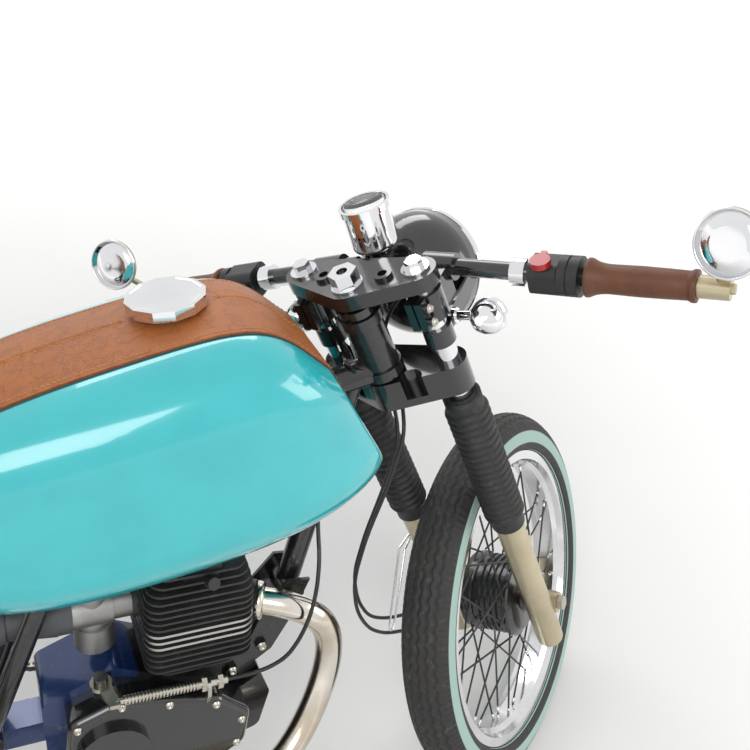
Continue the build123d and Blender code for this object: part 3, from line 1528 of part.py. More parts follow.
with BuildPart() as side_stand:
    tube_between(stand_pivot - stand_axis * 10, stand_pivot + stand_axis * 10, 15)
    tube_between(stand_pivot, stand_foot, 9)
    with Locations(tuple(stand_foot)):
        Sphere(stand_shoe_radius)
    with BuildSketch(Plane(origin=stand_pivot - stand_axis * 12, z_dir=stand_axis)):
        Circle(6 + fit_gap)
    extrude(amount=30, mode=Mode.SUBTRACT)
hand_out("side_stand", side_stand.part)

# the origin lies on the floor, under the middle of the whole machine
boxes = [piece.bounding_box() for piece in finished.values()]
low = Vector(*(min(getattr(box.min, axis) for box in boxes) for axis in "XYZ"))
high = Vector(*(max(getattr(box.max, axis) for box in boxes) for axis in "XYZ"))
origin = Vector((low.X + high.X) / 2, (low.Y + high.Y) / 2, low.Z)
common_frame = Location(tuple(-origin))
for name, piece in finished.items():
    placed = common_frame * piece
    placed.label = name
    export_step(placed, f"parts/{name}.step")
print(len(finished), "pieces, size", high - low)
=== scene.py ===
import json
import math
import bmesh
import bpy
import numpy as np
from mathutils import Matrix, Vector
from mathutils.bvhtree import BVHTree


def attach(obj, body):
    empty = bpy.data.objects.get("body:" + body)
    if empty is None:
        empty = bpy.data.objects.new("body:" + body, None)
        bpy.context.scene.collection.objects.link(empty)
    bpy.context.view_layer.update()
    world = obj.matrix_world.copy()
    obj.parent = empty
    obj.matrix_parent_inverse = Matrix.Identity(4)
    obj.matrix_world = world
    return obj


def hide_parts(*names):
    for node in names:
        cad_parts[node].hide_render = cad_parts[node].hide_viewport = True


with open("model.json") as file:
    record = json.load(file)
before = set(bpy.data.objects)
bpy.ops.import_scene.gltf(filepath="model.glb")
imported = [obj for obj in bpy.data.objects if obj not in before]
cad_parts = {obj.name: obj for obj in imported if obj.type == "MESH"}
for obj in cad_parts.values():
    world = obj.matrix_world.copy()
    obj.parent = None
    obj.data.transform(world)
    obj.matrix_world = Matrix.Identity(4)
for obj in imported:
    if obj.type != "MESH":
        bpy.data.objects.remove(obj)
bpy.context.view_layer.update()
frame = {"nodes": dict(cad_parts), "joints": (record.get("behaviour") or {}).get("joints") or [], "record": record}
nodes = frame["nodes"]
joints = {joint["name"]: joint for joint in frame["joints"]}
mm = 0.001

# what a user would change about the camera, the lamps and the floor
look = {
    "focal": 920.1,
    "pictureWidth": 750,
    "sensor": 36.0,
    "cameraPlace": (-0.100, -0.831, 1.492),
    "yaw": 59.28,
    "pitch": 39.09,
    "roll": 13.74,
    "floorTone": (0.86, 0.855, 0.845),
    "floorHalf": 9,
    "fadeFrom": 1.0,
    "fadeTo": 4.5,
    "fadeStrength": 0.75,
    "skyStrength": 0.55,
    "skyTone": (0.62, 0.62, 0.63),
    "white": (1.0, 1.0, 1.0),
    "lamps": (
        # name, place, power, width and height, and the point that it faces
        ("keyLamp", (-1.2, -2.2, 3.0), 48.0, (2.2, 1.4), (0.1, 0, 0.5)),
        ("fillLamp", (2.8, -1.2, 1.9), 26.0, (1.6, 1.6), (0.3, 0, 0.5)),
        ("rimLamp", (0.4, 2.6, 2.4), 30.0, (2.4, 1.0), (0.2, 0, 0.6)),
    ),
}


def unit(vector):
    # the vector over its own length
    vector = np.asarray(vector, float)
    return vector / np.linalg.norm(vector)


def unitRows(vectors):
    # each row over its own length
    return vectors / np.linalg.norm(vectors, axis=1)[:, None]


def fullTurn(count):
    # equal steps once round, in radians
    return np.linspace(0, 2 * math.pi, count, endpoint=False)


def onCircle(angles, radius):
    # flat places at the radius times the cosine and the sine of each angle
    return radius * np.stack([np.cos(angles), np.sin(angles)], -1)


# the fork's own frame and the chassis' own frame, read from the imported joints
rake = math.radians(27)
axleAhead = 0.056
rearRadius = 0.308
forkUp = unit(joints["steering_turn"]["axis"])
forkLeft = unit(joints["front_wheel_spin"]["axis"])
forkAhead = unit(np.cross(forkLeft, forkUp))
axlePlace = np.array(joints["front_wheel_spin"]["pos_m"])
forkOrigin = axlePlace - axleAhead * forkAhead
chassisLeft = unit(joints["rear_wheel_spin"]["axis"])
slantAhead = unit(np.cross(chassisLeft, forkUp))
chassisAhead = math.cos(rake) * slantAhead - math.sin(rake) * forkUp
chassisUp = math.sin(rake) * slantAhead + math.cos(rake) * forkUp
rearAxle = np.array(joints["rear_wheel_spin"]["pos_m"])
chassisOrigin = rearAxle - rearRadius * chassisUp

forkFrame = (forkOrigin, np.stack([forkAhead, forkLeft, forkUp]))
chassisFrame = (chassisOrigin, np.stack([chassisAhead, chassisLeft, chassisUp]))
frontWheelFrame = (axlePlace, forkFrame[1])
rearWheelFrame = (rearAxle, chassisFrame[1])
ownFrame = (np.zeros(3), np.eye(3))


def placed(points, local):
    # points of a local frame (ahead, left, up), in metres, carried into the row frame
    return local[0] + np.asarray(points, float) @ local[1]


def nested(local, origin, zDir, xDir=(1, 0, 0)):
    # a frame inside a local frame, with its third axis along zDir
    origin = placed([origin], local)[0]
    zAxis = unit(np.asarray(zDir, float) @ local[1])
    xAxis = np.asarray(xDir, float) @ local[1]
    xAxis = unit(xAxis - zAxis * (xAxis @ zAxis))
    return origin, np.stack([xAxis, np.cross(zAxis, xAxis), zAxis])


def addMesh(name, points, faces, body, smooth, uv):
    # one object from whole arrays of points and faces, left at the origin and riding on a body
    mesh = bpy.data.meshes.new(name)
    mesh.from_pydata(np.asarray(points, float).tolist(), [], np.asarray(faces).tolist())
    mesh.update()
    if uv is not None:
        layer = mesh.uv_layers.new(name="UVMap")
        corners = np.zeros(len(mesh.loops), np.int32)
        mesh.loops.foreach_get("vertex_index", corners)
        layer.data.foreach_set("uv", np.asarray(uv, np.float32)[corners].ravel())
    mesh.polygons.foreach_set("use_smooth", np.full(len(mesh.polygons), smooth))
    piece = bpy.data.objects.new(name, mesh)
    bpy.context.scene.collection.objects.link(piece)
    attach(piece, body)
    return piece


def gridFaces(rows, columns, wrapRows=False, wrapColumns=False):
    # quads of a grid whose points are stored row by row
    rowEnd = rows if wrapRows else rows - 1
    columnEnd = columns if wrapColumns else columns - 1
    r, c = np.meshgrid(np.arange(rowEnd), np.arange(columnEnd), indexing="ij")
    r2, c2 = (r + 1) % rows, (c + 1) % columns
    quads = np.stack([r * columns + c, r * columns + c2, r2 * columns + c2, r2 * columns + c], -1)
    return quads.reshape(-1, 4)


def turned(profile, count, local):
    # a profile of (radius, height) pairs, in millimetres, carried round the third axis of a local frame
    profile = np.asarray(profile, float) * mm
    angle = fullTurn(count)
    radius, height = profile[:, 0], profile[:, 1]
    x = np.cos(angle)[:, None] * radius
    y = np.sin(angle)[:, None] * radius
    z = np.broadcast_to(height, x.shape)
    points = placed(np.stack([x, y, z], -1).reshape(-1, 3), local)
    return points, gridFaces(count, len(profile), wrapRows=True)


def sleeve(profile, count, local):
    # a turned profile whose last point joins its first, which leaves a bore
    points, faces = turned(profile, count, local)
    first = np.arange(count) * len(profile)
    last = first + len(profile) - 1
    closing = np.stack([first, np.roll(first, -1), np.roll(last, -1), last], -1)
    return points, np.concatenate([faces, closing])


def closePoles(piece, distance=1e-6):
    # welds the doubled points on a pole or a seam and turns the faces outwards
    shape = bmesh.new()
    shape.from_mesh(piece.data)
    bmesh.ops.remove_doubles(shape, verts=shape.verts, dist=distance)
    bmesh.ops.dissolve_degenerate(shape, edges=shape.edges, dist=distance)
    bmesh.ops.recalc_face_normals(shape, faces=shape.faces)
    shape.to_mesh(piece.data)
    shape.free()


def instancesOf(points, faces, origins, axes):
    # one small form repeated: axes holds a 3 by 3 frame for each copy
    points, faces = np.asarray(points, float), np.asarray(faces)
    copies = origins[:, None, :] + np.einsum("pk,nkj->npj", points, axes)
    offset = (np.arange(len(origins)) * len(points))[:, None, None]
    return copies.reshape(-1, 3), (faces[None] + offset).reshape(-1, faces.shape[1])


def copiesOf(profile, sides, frames):
    # one small turned form repeated: each frame is an origin with its three axes
    origins, axes = (np.array(part) for part in zip(*frames))
    return instancesOf(*turned(profile, sides, ownFrame), origins, axes)


def tubeAlong(path, radius, sides, reference):
    # a round tube: each ring is the path's point plus the radius times cosine and sine of two cross axes
    path = np.asarray(path, float)
    run = unitRows(np.gradient(path, axis=0))
    across = unitRows(np.cross(run, reference))
    over = np.cross(run, across)
    turn = fullTurn(sides)
    ring = np.cos(turn)[None, :, None] * across[:, None] + np.sin(turn)[None, :, None] * over[:, None]
    rings = path[:, None] + radius * ring
    ends = np.repeat(path[[0, -1]][:, None], sides, axis=1)
    points = np.concatenate([ends[:1], rings, ends[1:]]).reshape(-1, 3)
    return points, gridFaces(len(path) + 2, sides, wrapColumns=True)


def joined(parts):
    # several arrays of points and faces as one
    points, faces, offset = [], [], 0
    for some, quads in parts:
        points.append(some)
        faces.append(np.asarray(quads) + offset)
        offset += len(some)
    return np.concatenate(points), np.concatenate(faces)


def mirroredSides(place, direction):
    # a place and a direction on the right, and their mirror image on the left
    for side in (1, -1):
        yield (place[0], side * place[1], place[2]), (direction[0], side * direction[1], direction[2])


def smoothStep(value):
    # three times the square less twice the cube, between nought and one
    value = np.clip(value, 0, 1)
    return value * value * (3 - 2 * value)


def softened(values, width):
    # the running mean over an odd number of values, with the ends held
    return np.convolve(np.pad(values, width // 2, mode="edge"), np.full(width, 1 / width), "valid")


# shared shader effects, each a node group that puts out colours, masks and heights
def newGroup(name, inputs):
    # a group with the given inputs and the three outputs that every effect has
    group = bpy.data.node_groups.new(name, "ShaderNodeTree")
    for label, default in inputs:
        kind = {3: "Vector", 4: "Color"}[len(default)] if isinstance(default, tuple) else "Float"
        socket = group.interface.new_socket(name=label, in_out="INPUT", socket_type="NodeSocket" + kind)
        socket.default_value = default
    for label, kind in (("Colour", "Color"), ("Roughness", "Float"), ("Height", "Float")):
        group.interface.new_socket(name=label, in_out="OUTPUT", socket_type="NodeSocket" + kind)
    ins, outs = group.nodes.new("NodeGroupInput"), group.nodes.new("NodeGroupOutput")
    return group, ins.outputs, outs.inputs


def setInputs(node, values):
    # plain numbers as they are, colours with a full alpha
    for label, value in values.items():
        node.inputs[label].default_value = (*value, 1) if isinstance(value, tuple) else value


def feed(tree, sockets, values):
    # a number or a colour is set on its socket, and an output is linked to it
    for socket, value in zip(sockets, values):
        if isinstance(value, (int, float)):
            socket.default_value = value
        elif isinstance(value, tuple):
            socket.default_value = (*value, 1)
        else:
            tree.links.new(value, socket)


def mathNode(tree, operation, *values):
    # one sum, product or other operation on numbers or outputs
    node = tree.nodes.new("ShaderNodeMath")
    node.operation = operation
    feed(tree, node.inputs, values)
    return node.outputs[0]


def rampNode(tree, source, low, high, fromValue=0.0, toValue=1.0):
    # the source carried in a straight line from one range to another, and held at its ends
    node = tree.nodes.new("ShaderNodeMapRange")
    setInputs(node, {"From Min": low, "From Max": high, "To Min": fromValue, "To Max": toValue})
    tree.links.new(source, node.inputs["Value"])
    return node.outputs["Result"]


def mixColour(tree, factor, first, second):
    # the first colour where the factor is nought, the second where it is one
    node = tree.nodes.new("ShaderNodeMix")
    node.data_type = "RGBA"
    feed(tree, (node.inputs[0], node.inputs[6], node.inputs[7]), (factor, first, second))
    return node.outputs[2]


def noiseNode(tree, vector, scale, detail=4.0, roughness=0.55):
    # cloudy noise between nought and one
    node = tree.nodes.new("ShaderNodeTexNoise")
    setInputs(node, {"Scale": scale, "Detail": detail, "Roughness": roughness})
    tree.links.new(vector, node.inputs["Vector"])
    return node.outputs["Fac"]


def makeGrainGroup():
    # fine grain, soft blotches and sparse dust, from object coordinates
    group, given, out = newGroup("fineGrain", (
        ("Vector", (0, 0, 0)),
        ("Colour", (0.5, 0.5, 0.5, 1)),
        ("Shade", (0.4, 0.4, 0.4, 1)),
        ("Dust", (0.3, 0.28, 0.25, 1)),
        ("Dust Amount", 0.2),
        ("Grain Scale", 600.0),
        ("Rough Low", 0.3),
        ("Rough High", 0.5),
    ))
    blotch = noiseNode(group, given["Vector"], 14.0, 5.0)
    fine = group.nodes.new("ShaderNodeTexNoise")
    fine.inputs["Detail"].default_value = 3.0
    feed(group, (fine.inputs["Vector"], fine.inputs["Scale"]), (given["Vector"], given["Grain Scale"]))
    speck = noiseNode(group, given["Vector"], 90.0, 6.0, 0.7)
    blotchMask = rampNode(group, blotch, 0.38, 0.66)
    colour = mixColour(group, blotchMask, given["Colour"], given["Shade"])
    dustMask = mathNode(group, "MULTIPLY", rampNode(group, speck, 0.55, 0.75), given["Dust Amount"])
    group.links.new(mixColour(group, dustMask, colour, given["Dust"]), out["Colour"])
    spread = mathNode(group, "SUBTRACT", given["Rough High"], given["Rough Low"])
    halfBlotch = mathNode(group, "MULTIPLY", blotchMask, 0.5)
    mixed = mathNode(group, "MULTIPLY_ADD", fine.outputs["Fac"], 0.5, halfBlotch)
    rough = mathNode(group, "ADD", mathNode(group, "MULTIPLY", spread, mixed), given["Rough Low"])
    group.links.new(rough, out["Roughness"])
    group.links.new(fine.outputs["Fac"], out["Height"])
    return group


def makeLeatherGroup():
    # pebbled leather: fine cells, long soft creases and rubbed tops, with painted shade darkening the cells' edges
    # and the crease lines
    group, given, out = newGroup("pebbledLeather", (
        ("Vector", (0, 0, 0)),
        ("Colour", (0.3, 0.15, 0.08, 1)),
        ("Rubbed", (0.42, 0.24, 0.13, 1)),
        # the tone of the painted shade in the cells' edges and the creases
        ("Painted Shade", (0.1, 0.05, 0.03, 1)),
        ("Cell Scale", 420.0),
    ))
    cells = group.nodes.new("ShaderNodeTexVoronoi")
    cells.feature = "DISTANCE_TO_EDGE"
    feed(group, (cells.inputs["Vector"], cells.inputs["Scale"]), (given["Vector"], given["Cell Scale"]))
    pebble = rampNode(group, cells.outputs["Distance"], 0.0, 0.22)
    crease = noiseNode(group, given["Vector"], 34.0, 7.0, 0.62)
    awayFromCrease = mathNode(group, "ABSOLUTE", mathNode(group, "SUBTRACT", crease, 0.5))
    creaseLine = rampNode(group, awayFromCrease, 0.0, 0.045)
    patch = noiseNode(group, given["Vector"], 9.0, 4.0)
    colour = mixColour(group, rampNode(group, patch, 0.42, 0.68), given["Colour"], given["Rubbed"])
    # painted shade: the colour darkens towards the shade tone at the pebbles' edges
    colour = mixColour(group, rampNode(group, pebble, 0.0, 1.0, 0.35, 0.0), colour, given["Painted Shade"])
    # painted shade along the crease lines
    creaseShadeMask = rampNode(group, creaseLine, 0.0, 1.0, 0.4, 0.0)
    group.links.new(mixColour(group, creaseShadeMask, colour, given["Painted Shade"]), out["Colour"])
    group.links.new(rampNode(group, patch, 0.3, 0.7, 0.42, 0.6), out["Roughness"])
    group.links.new(mathNode(group, "MULTIPLY_ADD", creaseLine, 0.6, pebble), out["Height"])
    return group


grainGroup = makeGrainGroup()
leatherGroup = makeLeatherGroup()


def newMaterial(name, metallic=0.0, coat=0.0, coatRoughness=0.05, specular=0.5):
    material = bpy.data.materials.new(name)
    material.use_nodes = True
    tree = material.node_tree
    shader = tree.nodes["Principled BSDF"]
    setInputs(shader, {"Metallic": metallic, "Coat Weight": coat, "Coat Roughness": coatRoughness,
                       "Specular IOR Level": specular})
    return material, tree, shader, tree.nodes.new("ShaderNodeTexCoord")


def dress(tree, shader, where, group, values, bumpStrength, depth):
    # a shared effect placed in a material, feeding its colour, its roughness and a bump
    effect = tree.nodes.new("ShaderNodeGroup")
    effect.node_tree = group
    setInputs(effect, values)
    bump = tree.nodes.new("ShaderNodeBump")
    setInputs(bump, {"Strength": bumpStrength, "Distance": depth})
    tree.links.new(where.outputs["Object"], effect.inputs["Vector"])
    tree.links.new(effect.outputs["Colour"], shader.inputs["Base Color"])
    tree.links.new(effect.outputs["Roughness"], shader.inputs["Roughness"])
    tree.links.new(effect.outputs["Height"], bump.inputs["Height"])
    tree.links.new(bump.outputs["Normal"], shader.inputs["Normal"])


def grainFinish(name, colour, shade, rough, metallic=0.0, coat=0.0, dust=0.15, dustTone=(0.25, 0.22, 0.19),
                grain=900.0, bump=0.1, depth=0.0002, coatRoughness=0.05):
    material, tree, shader, where = newMaterial(name, metallic, coat, coatRoughness)
    values = {"Colour": colour, "Shade": shade, "Dust": dustTone, "Dust Amount": dust, "Grain Scale": grain,
              "Rough Low": rough[0], "Rough High": rough[1]}
    dress(tree, shader, where, grainGroup, values, bump, depth)
    return material


def leatherFinish(name, colour, rubbed, shadeTone):
    material, tree, shader, where = newMaterial(name, coat=0.06, coatRoughness=0.4, specular=0.45)
    values = {"Colour": colour, "Rubbed": rubbed, "Painted Shade": shadeTone, "Cell Scale": 420.0}
    dress(tree, shader, where, leatherGroup, values, 0.35, 0.0006)
    return material


def glassFinish(name, tint, roughness):
    material, tree, shader, where = newMaterial(name)
    setInputs(shader, {"Base Color": tint, "Transmission Weight": 1.0, "IOR": 1.47})
    haze = noiseNode(tree, where.outputs["Object"], 60.0, 5.0)
    tree.links.new(rampNode(tree, haze, 0.3, 0.8, roughness, roughness + 0.06), shader.inputs["Roughness"])
    return material


def toneWhere(tree, mask, tone):
    # a second tone over a finish's own colour, where the mask is one
    base = tree.nodes["Principled BSDF"].inputs["Base Color"]
    tree.links.new(mixColour(tree, mask, base.links[0].from_socket, tone), base)


def bandFinish(material, tone, low, high, edge=0.006):
    # a pale ring round each side wall, picked out by the distance across the tyre in its UV map
    tree = material.node_tree
    wall = tree.nodes.new("ShaderNodeUVMap")
    wall.uv_map = "UVMap"
    split = tree.nodes.new("ShaderNodeSeparateXYZ")
    tree.links.new(wall.outputs["UV"], split.inputs["Vector"])
    away = mathNode(tree, "ABSOLUTE", mathNode(tree, "SUBTRACT", split.outputs["Y"], 0.5))
    outer, inner = rampNode(tree, away, low, low + edge), rampNode(tree, away, high, high - edge)
    toneWhere(tree, mathNode(tree, "MULTIPLY", outer, inner), tone)


def twoTone(material, tone, origin, ahead, edge, blend=0.002):
    # another tone ahead of an edge: the mask is the distance along the machine from its rear axle
    tree = material.node_tree
    where = tree.nodes.new("ShaderNodeTexCoord")
    along = tree.nodes.new("ShaderNodeVectorMath")
    along.operation = "DOT_PRODUCT"
    tree.links.new(where.outputs["Object"], along.inputs[0])
    along.inputs[1].default_value = tuple(float(value) for value in ahead)
    start = float(np.dot(origin, ahead)) + edge
    toneWhere(tree, rampNode(tree, along.outputs["Value"], start - blend, start + blend), tone)


chromeTone = (0.80, 0.80, 0.81)
finishLook = {
    # for each slot: a name, the colour, its blotches' shade, the roughness from and to, and what is special
    "turquoise_paint": ("turquoisePaint", (0.030, 0.560, 0.600), (0.026, 0.520, 0.565), (0.16, 0.24),
                        dict(coat=1.0, dust=0.05, grain=1400, bump=0.03, depth=0.0001, coatRoughness=0.03)),
    "bright_chrome": ("brightChrome", chromeTone, (0.72, 0.73, 0.75), (0.04, 0.10),
                      dict(metallic=1.0, dust=0.05, bump=0.02, depth=0.0001)),
    "fork_chrome": ("forkChrome", chromeTone, (0.70, 0.71, 0.73), (0.05, 0.12),
                    dict(metallic=1.0, dust=0.08, bump=0.02, depth=0.0001)),
    "chrome_rim": ("rimChrome", (0.72, 0.72, 0.73), (0.62, 0.62, 0.63), (0.08, 0.20),
                   dict(metallic=1.0, dust=0.14, bump=0.04, depth=0.0001)),
    "header_chrome": ("headerChrome", (0.72, 0.68, 0.62), (0.58, 0.50, 0.40), (0.09, 0.24),
                      dict(metallic=1.0, dust=0.16, bump=0.04)),
    "satin_silver": ("satinSilver", (0.60, 0.59, 0.57), (0.52, 0.51, 0.49), (0.26, 0.38),
                     dict(metallic=1.0, dust=0.06, bump=0.08)),
    "slider_aluminium": ("champagneAluminium", (0.56, 0.49, 0.34), (0.48, 0.42, 0.29), (0.28, 0.42),
                         dict(metallic=0.95, dust=0.12, bump=0.10)),
    "axle_steel": ("zincSteel", (0.55, 0.52, 0.45), (0.45, 0.42, 0.36), (0.25, 0.42),
                   dict(metallic=1.0, dust=0.2, bump=0.1)),
    "shock_steel": ("springSteel", (0.55, 0.56, 0.58), (0.45, 0.46, 0.48), (0.15, 0.3),
                    dict(metallic=1.0, dust=0.15)),
    "carb_alloy": ("castAlloy", (0.42, 0.42, 0.41), (0.32, 0.31, 0.30), (0.38, 0.55),
                   dict(metallic=0.9, dust=0.25, grain=1600, bump=0.3)),
    "gloss_black": ("glossBlack", (0.008, 0.008, 0.009), (0.012, 0.012, 0.013), (0.14, 0.24),
                    dict(coat=0.8, dust=0.08, bump=0.03)),
    "frame_black": ("frameEnamel", (0.010, 0.010, 0.011), (0.016, 0.016, 0.017), (0.22, 0.34),
                    dict(coat=0.5, dust=0.16, bump=0.05)),
    "fender_black": ("satinBlack", (0.014, 0.014, 0.015), (0.022, 0.021, 0.020), (0.34, 0.5),
                     dict(dust=0.2, bump=0.1)),
    "hub_black": ("hubBlack", (0.012, 0.012, 0.013), (0.02, 0.02, 0.021), (0.2, 0.34),
                  dict(coat=0.4, dust=0.2)),
    "plate_black": ("plateBlack", (0.02, 0.02, 0.021), (0.03, 0.03, 0.03), (0.34, 0.48), dict(dust=0.22)),
    "spoke_black": ("spokeBlack", (0.012, 0.012, 0.012), (0.03, 0.028, 0.026), (0.3, 0.45), dict(dust=0.3)),
    "fin_black": ("finBlack", (0.018, 0.018, 0.018), (0.03, 0.029, 0.028), (0.42, 0.6),
                  dict(dust=0.22, grain=1500, bump=0.25)),
    "blue_case": ("blueEnamel", (0.006, 0.030, 0.130), (0.008, 0.040, 0.15), (0.2, 0.34),
                  dict(metallic=0.3, coat=0.6, dust=0.18, bump=0.08)),
    "gaiter_rubber": ("gaiterRubber", (0.012, 0.012, 0.012), (0.02, 0.019, 0.018), (0.5, 0.66),
                      dict(dust=0.28, bump=0.2)),
    "brown_rubber": ("brownRubber", (0.150, 0.050, 0.018), (0.105, 0.034, 0.013), (0.42, 0.58),
                     dict(dust=0.12, bump=0.2)),
    "cable_black": ("cableSleeve", (0.010, 0.010, 0.010), (0.018, 0.018, 0.018), (0.36, 0.5), dict(dust=0.2)),
    "switch_black": ("switchPlastic", (0.012, 0.012, 0.012), (0.018, 0.018, 0.018), (0.36, 0.5),
                     dict(dust=0.12, grain=2200, bump=0.25)),
    "switch_red": ("switchRed", (0.55, 0.012, 0.010), (0.42, 0.010, 0.010), (0.22, 0.34),
                   dict(coat=0.3, dust=0.04)),
    "tail_red": ("tailRed", (0.42, 0.006, 0.006), (0.30, 0.004, 0.004), (0.12, 0.22),
                 dict(coat=0.8, dust=0.05)),
    "chain_steel": ("chainSteel", (0.30, 0.27, 0.22), (0.12, 0.10, 0.08), (0.3, 0.5),
                    dict(metallic=0.95, dust=0.3)),
    "filter_gauze": ("filterGauze", (0.10, 0.10, 0.11), (0.05, 0.05, 0.055), (0.5, 0.7),
                     dict(dust=0.2, grain=2500, bump=0.6)),
    "tyre_rubber": ("tyreRubber", (0.020, 0.020, 0.020), (0.032, 0.030, 0.028), (0.6, 0.78),
                    dict(dust=0.35, dustTone=(0.20, 0.18, 0.15), bump=0.25)),
}
finishes = {slot: grainFinish(*plain, **special) for slot, (*plain, special) in finishLook.items()}
# each leather's last tone is its painted shade, laid in the pebbles' edges and the creases
finishes["tan_leather"] = leatherFinish("tanLeather", (0.450, 0.140, 0.028), (0.540, 0.190, 0.052),
                                        (0.180, 0.048, 0.012))
finishes["seat_leather"] = leatherFinish("seatLeather", (0.350, 0.102, 0.024), (0.430, 0.145, 0.042),
                                         (0.14, 0.038, 0.010))
finishes["lamp_glass"] = glassFinish("lampGlass", (0.95, 0.96, 0.97), 0.02)
caseLook = {"blackTone": (0.009, 0.009, 0.010), "blackFrom": 0.668}
# the case is blue behind an edge and black ahead of it
twoTone(finishes["blue_case"], caseLook["blackTone"], chassisOrigin, chassisAhead, caseLook["blackFrom"])
print("finishes made:", len(finishes))

slotOf = {part["node"]: part["material_slot"] for part in frame["record"]["subparts"]}
for nodeName, cadNode in nodes.items():
    cadNode.data.materials.clear()
    cadNode.data.materials.append(finishes[slotOf[nodeName]])
nodes["engine_covers"].data.materials[0] = finishes["gloss_black"]
nodes["bar_end_mirrors"].data.materials[0] = finishes["slider_aluminium"]
print("nodes dressed:", len(nodes))


def besides(name, points, faces, body, slot, smooth=True, uv=None):
    # a closed piece of the object: welded, turned outwards and dressed with its slot's finish
    piece = addMesh(name, points, faces, body, smooth, uv)
    piece.data.materials.append(finishes[slot])
    closePoles(piece)
    return piece


def lathe(name, profile, count, local, body, slot, smooth=True):
    # one profile turned round a local frame's third axis and closed at its poles
    return besides(name, *turned(profile, count, local), body, slot, smooth)


def redress(piece, material):
    # another finish in place of the one of its slot
    piece.data.materials.clear()
    piece.data.materials.append(material)


# tyres: the crown is an arc about the section's centre, sunk by zigzag grooves that run round the wheel
tyreLook = {
    "front": (304.0, 80.0),  # radius and width
    "rear": (308.0, 90.0),
    "beadRadius": 244.0,
    "beadSeat": 231.0,
    "beadHalfWidth": 26.0,
    "grooves": (-27.0, -13.5, 0.0, 13.5, 27.0),
    "grooveHalfWidth": 1.9,
    "grooveEdge": 1.6,
    "grooveDepth": 2.6,
    "notchDepth": 0.6,
    "zigzag": 2.3,
    "zigzags": 90,
    "around": 720,
    "across": 96,
    "shoulderFrom": 33.0,
    "shoulderTo": 47.0,
    "bandFrom": 0.300,
    "bandTo": 0.425,
    "bandRaise": 0.4,
    "bandSharpness": 90,
    "bandTone": (0.40, 0.56, 0.51),
}


def addTyre(name, node, size, local, body):
    radius, width = size
    crown = width / 2
    centre = radius - crown
    beadAngle = math.acos((tyreLook["beadRadius"] - centre) / crown)
    section = np.linspace(-beadAngle, beadAngle, tyreLook["across"])
    around = fullTurn(tyreLook["around"])
    turn, tilt = np.meshgrid(around, section, indexing="ij")
    along = crown * tilt
    wave = np.abs((turn * tyreLook["zigzags"] / (2 * math.pi)) % 1 * 2 - 1) * 2 - 1
    sunk = np.zeros_like(along)
    for groove in tyreLook["grooves"]:
        away = np.abs(along - groove - tyreLook["zigzag"] * wave) / tyreLook["grooveHalfWidth"]
        sunk = np.maximum(sunk, smoothStep(tyreLook["grooveEdge"] - away))
    shoulder = (np.abs(along) > tyreLook["shoulderFrom"]) & (np.abs(along) < tyreLook["shoulderTo"])
    notch = smoothStep((np.cos(turn * tyreLook["zigzags"] * 2) - 0.35) * 3)
    sunk = np.maximum(sunk, shoulder * notch * tyreLook["notchDepth"])
    place = np.abs(tilt) / (2 * beadAngle)
    sharp, raised = tyreLook["bandSharpness"], tyreLook["bandRaise"]
    outerEdge = smoothStep((place - tyreLook["bandFrom"]) * sharp)
    band = outerEdge * smoothStep((tyreLook["bandTo"] - place) * sharp)
    depth = crown - tyreLook["grooveDepth"] * sunk + raised * band - raised
    bead, seat, half = (tyreLook[key] for key in ("beadRadius", "beadSeat", "beadHalfWidth"))
    inner = np.array([(bead - 1, half), (seat, half), (seat, -half), (bead - 1, -half)])
    inner = np.tile(inner, (len(around), 1, 1))
    ringRadius = np.concatenate([centre + depth * np.cos(tilt), inner[..., 0]], axis=1)
    ringSide = np.concatenate([depth * np.sin(tilt), inner[..., 1]], axis=1)
    spin = around[:, None]
    points = np.stack([ringRadius * np.cos(spin), ringSide, -ringRadius * np.sin(spin)], -1) * mm
    across = np.concatenate([(section / beadAngle + 1) / 2, np.full(4, 0.5)])
    uv = np.stack(np.meshgrid(around / (2 * math.pi), across, indexing="ij"), -1).reshape(-1, 2)
    faces = gridFaces(len(around), len(across), wrapRows=True, wrapColumns=True)
    tyre = besides(name, placed(points.reshape(-1, 3), local), faces, body, "tyre_rubber", uv=uv)
    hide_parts(node)


bandFinish(finishes["tyre_rubber"], tyreLook["bandTone"], tyreLook["bandFrom"], tyreLook["bandTo"])
addTyre("frontTyreTread", "front_tyre", tyreLook["front"], frontWheelFrame, "front_wheel")
addTyre("rearTyreTread", "rear_tyre", tyreLook["rear"], rearWheelFrame, "rear_wheel")
print("tyres made")

# spoke nipples: small turned sleeves at the rim, along each spoke
nippleLook = {
    "front": (67.9, 35, 30.5),  # hub flange radius, and the outer and inner spokes' distance from the middle
    "rear": (73.9, 34, 30),
    "reach": 216.2, "lead": 46.0, "perSet": 9, "length": 11.0, "radius": 2.7, "sides": 8,
}


def addNipples(name, size, local, body):
    hubRadius, hubOuter, hubInner = size
    frames = []
    for side, hubSide, rimSide, lead, clock in (
        (1, hubOuter, 8, 1, 0), (1, hubInner, 3.5, -1, 20),
        (-1, hubOuter, 8, -1, 10), (-1, hubInner, 3.5, 1, 30),
    ):
        for count in range(nippleLook["perSet"]):
            turn = math.radians(clock + 360 / nippleLook["perSet"] * count)
            swung = turn + math.radians(lead * nippleLook["lead"])
            head = np.array((hubRadius * math.cos(turn), side * hubSide, -hubRadius * math.sin(turn)))
            reach = nippleLook["reach"]
            tip = np.array((reach * math.cos(swung), side * rimSide, -reach * math.sin(swung)))
            frames.append(nested(local, tip * mm, head - tip, (0, 1, 0)))
    radius, length = nippleLook["radius"], nippleLook["length"]
    profile = [(0, length), (radius * 0.7, length), (radius, length - 3), (radius, 0), (0, 0)]
    besides(name, *copiesOf(profile, nippleLook["sides"], frames), body, "chrome_rim")


addNipples("frontNipples", nippleLook["front"], frontWheelFrame, "front_wheel")
addNipples("rearNipples", nippleLook["rear"], rearWheelFrame, "rear_wheel")

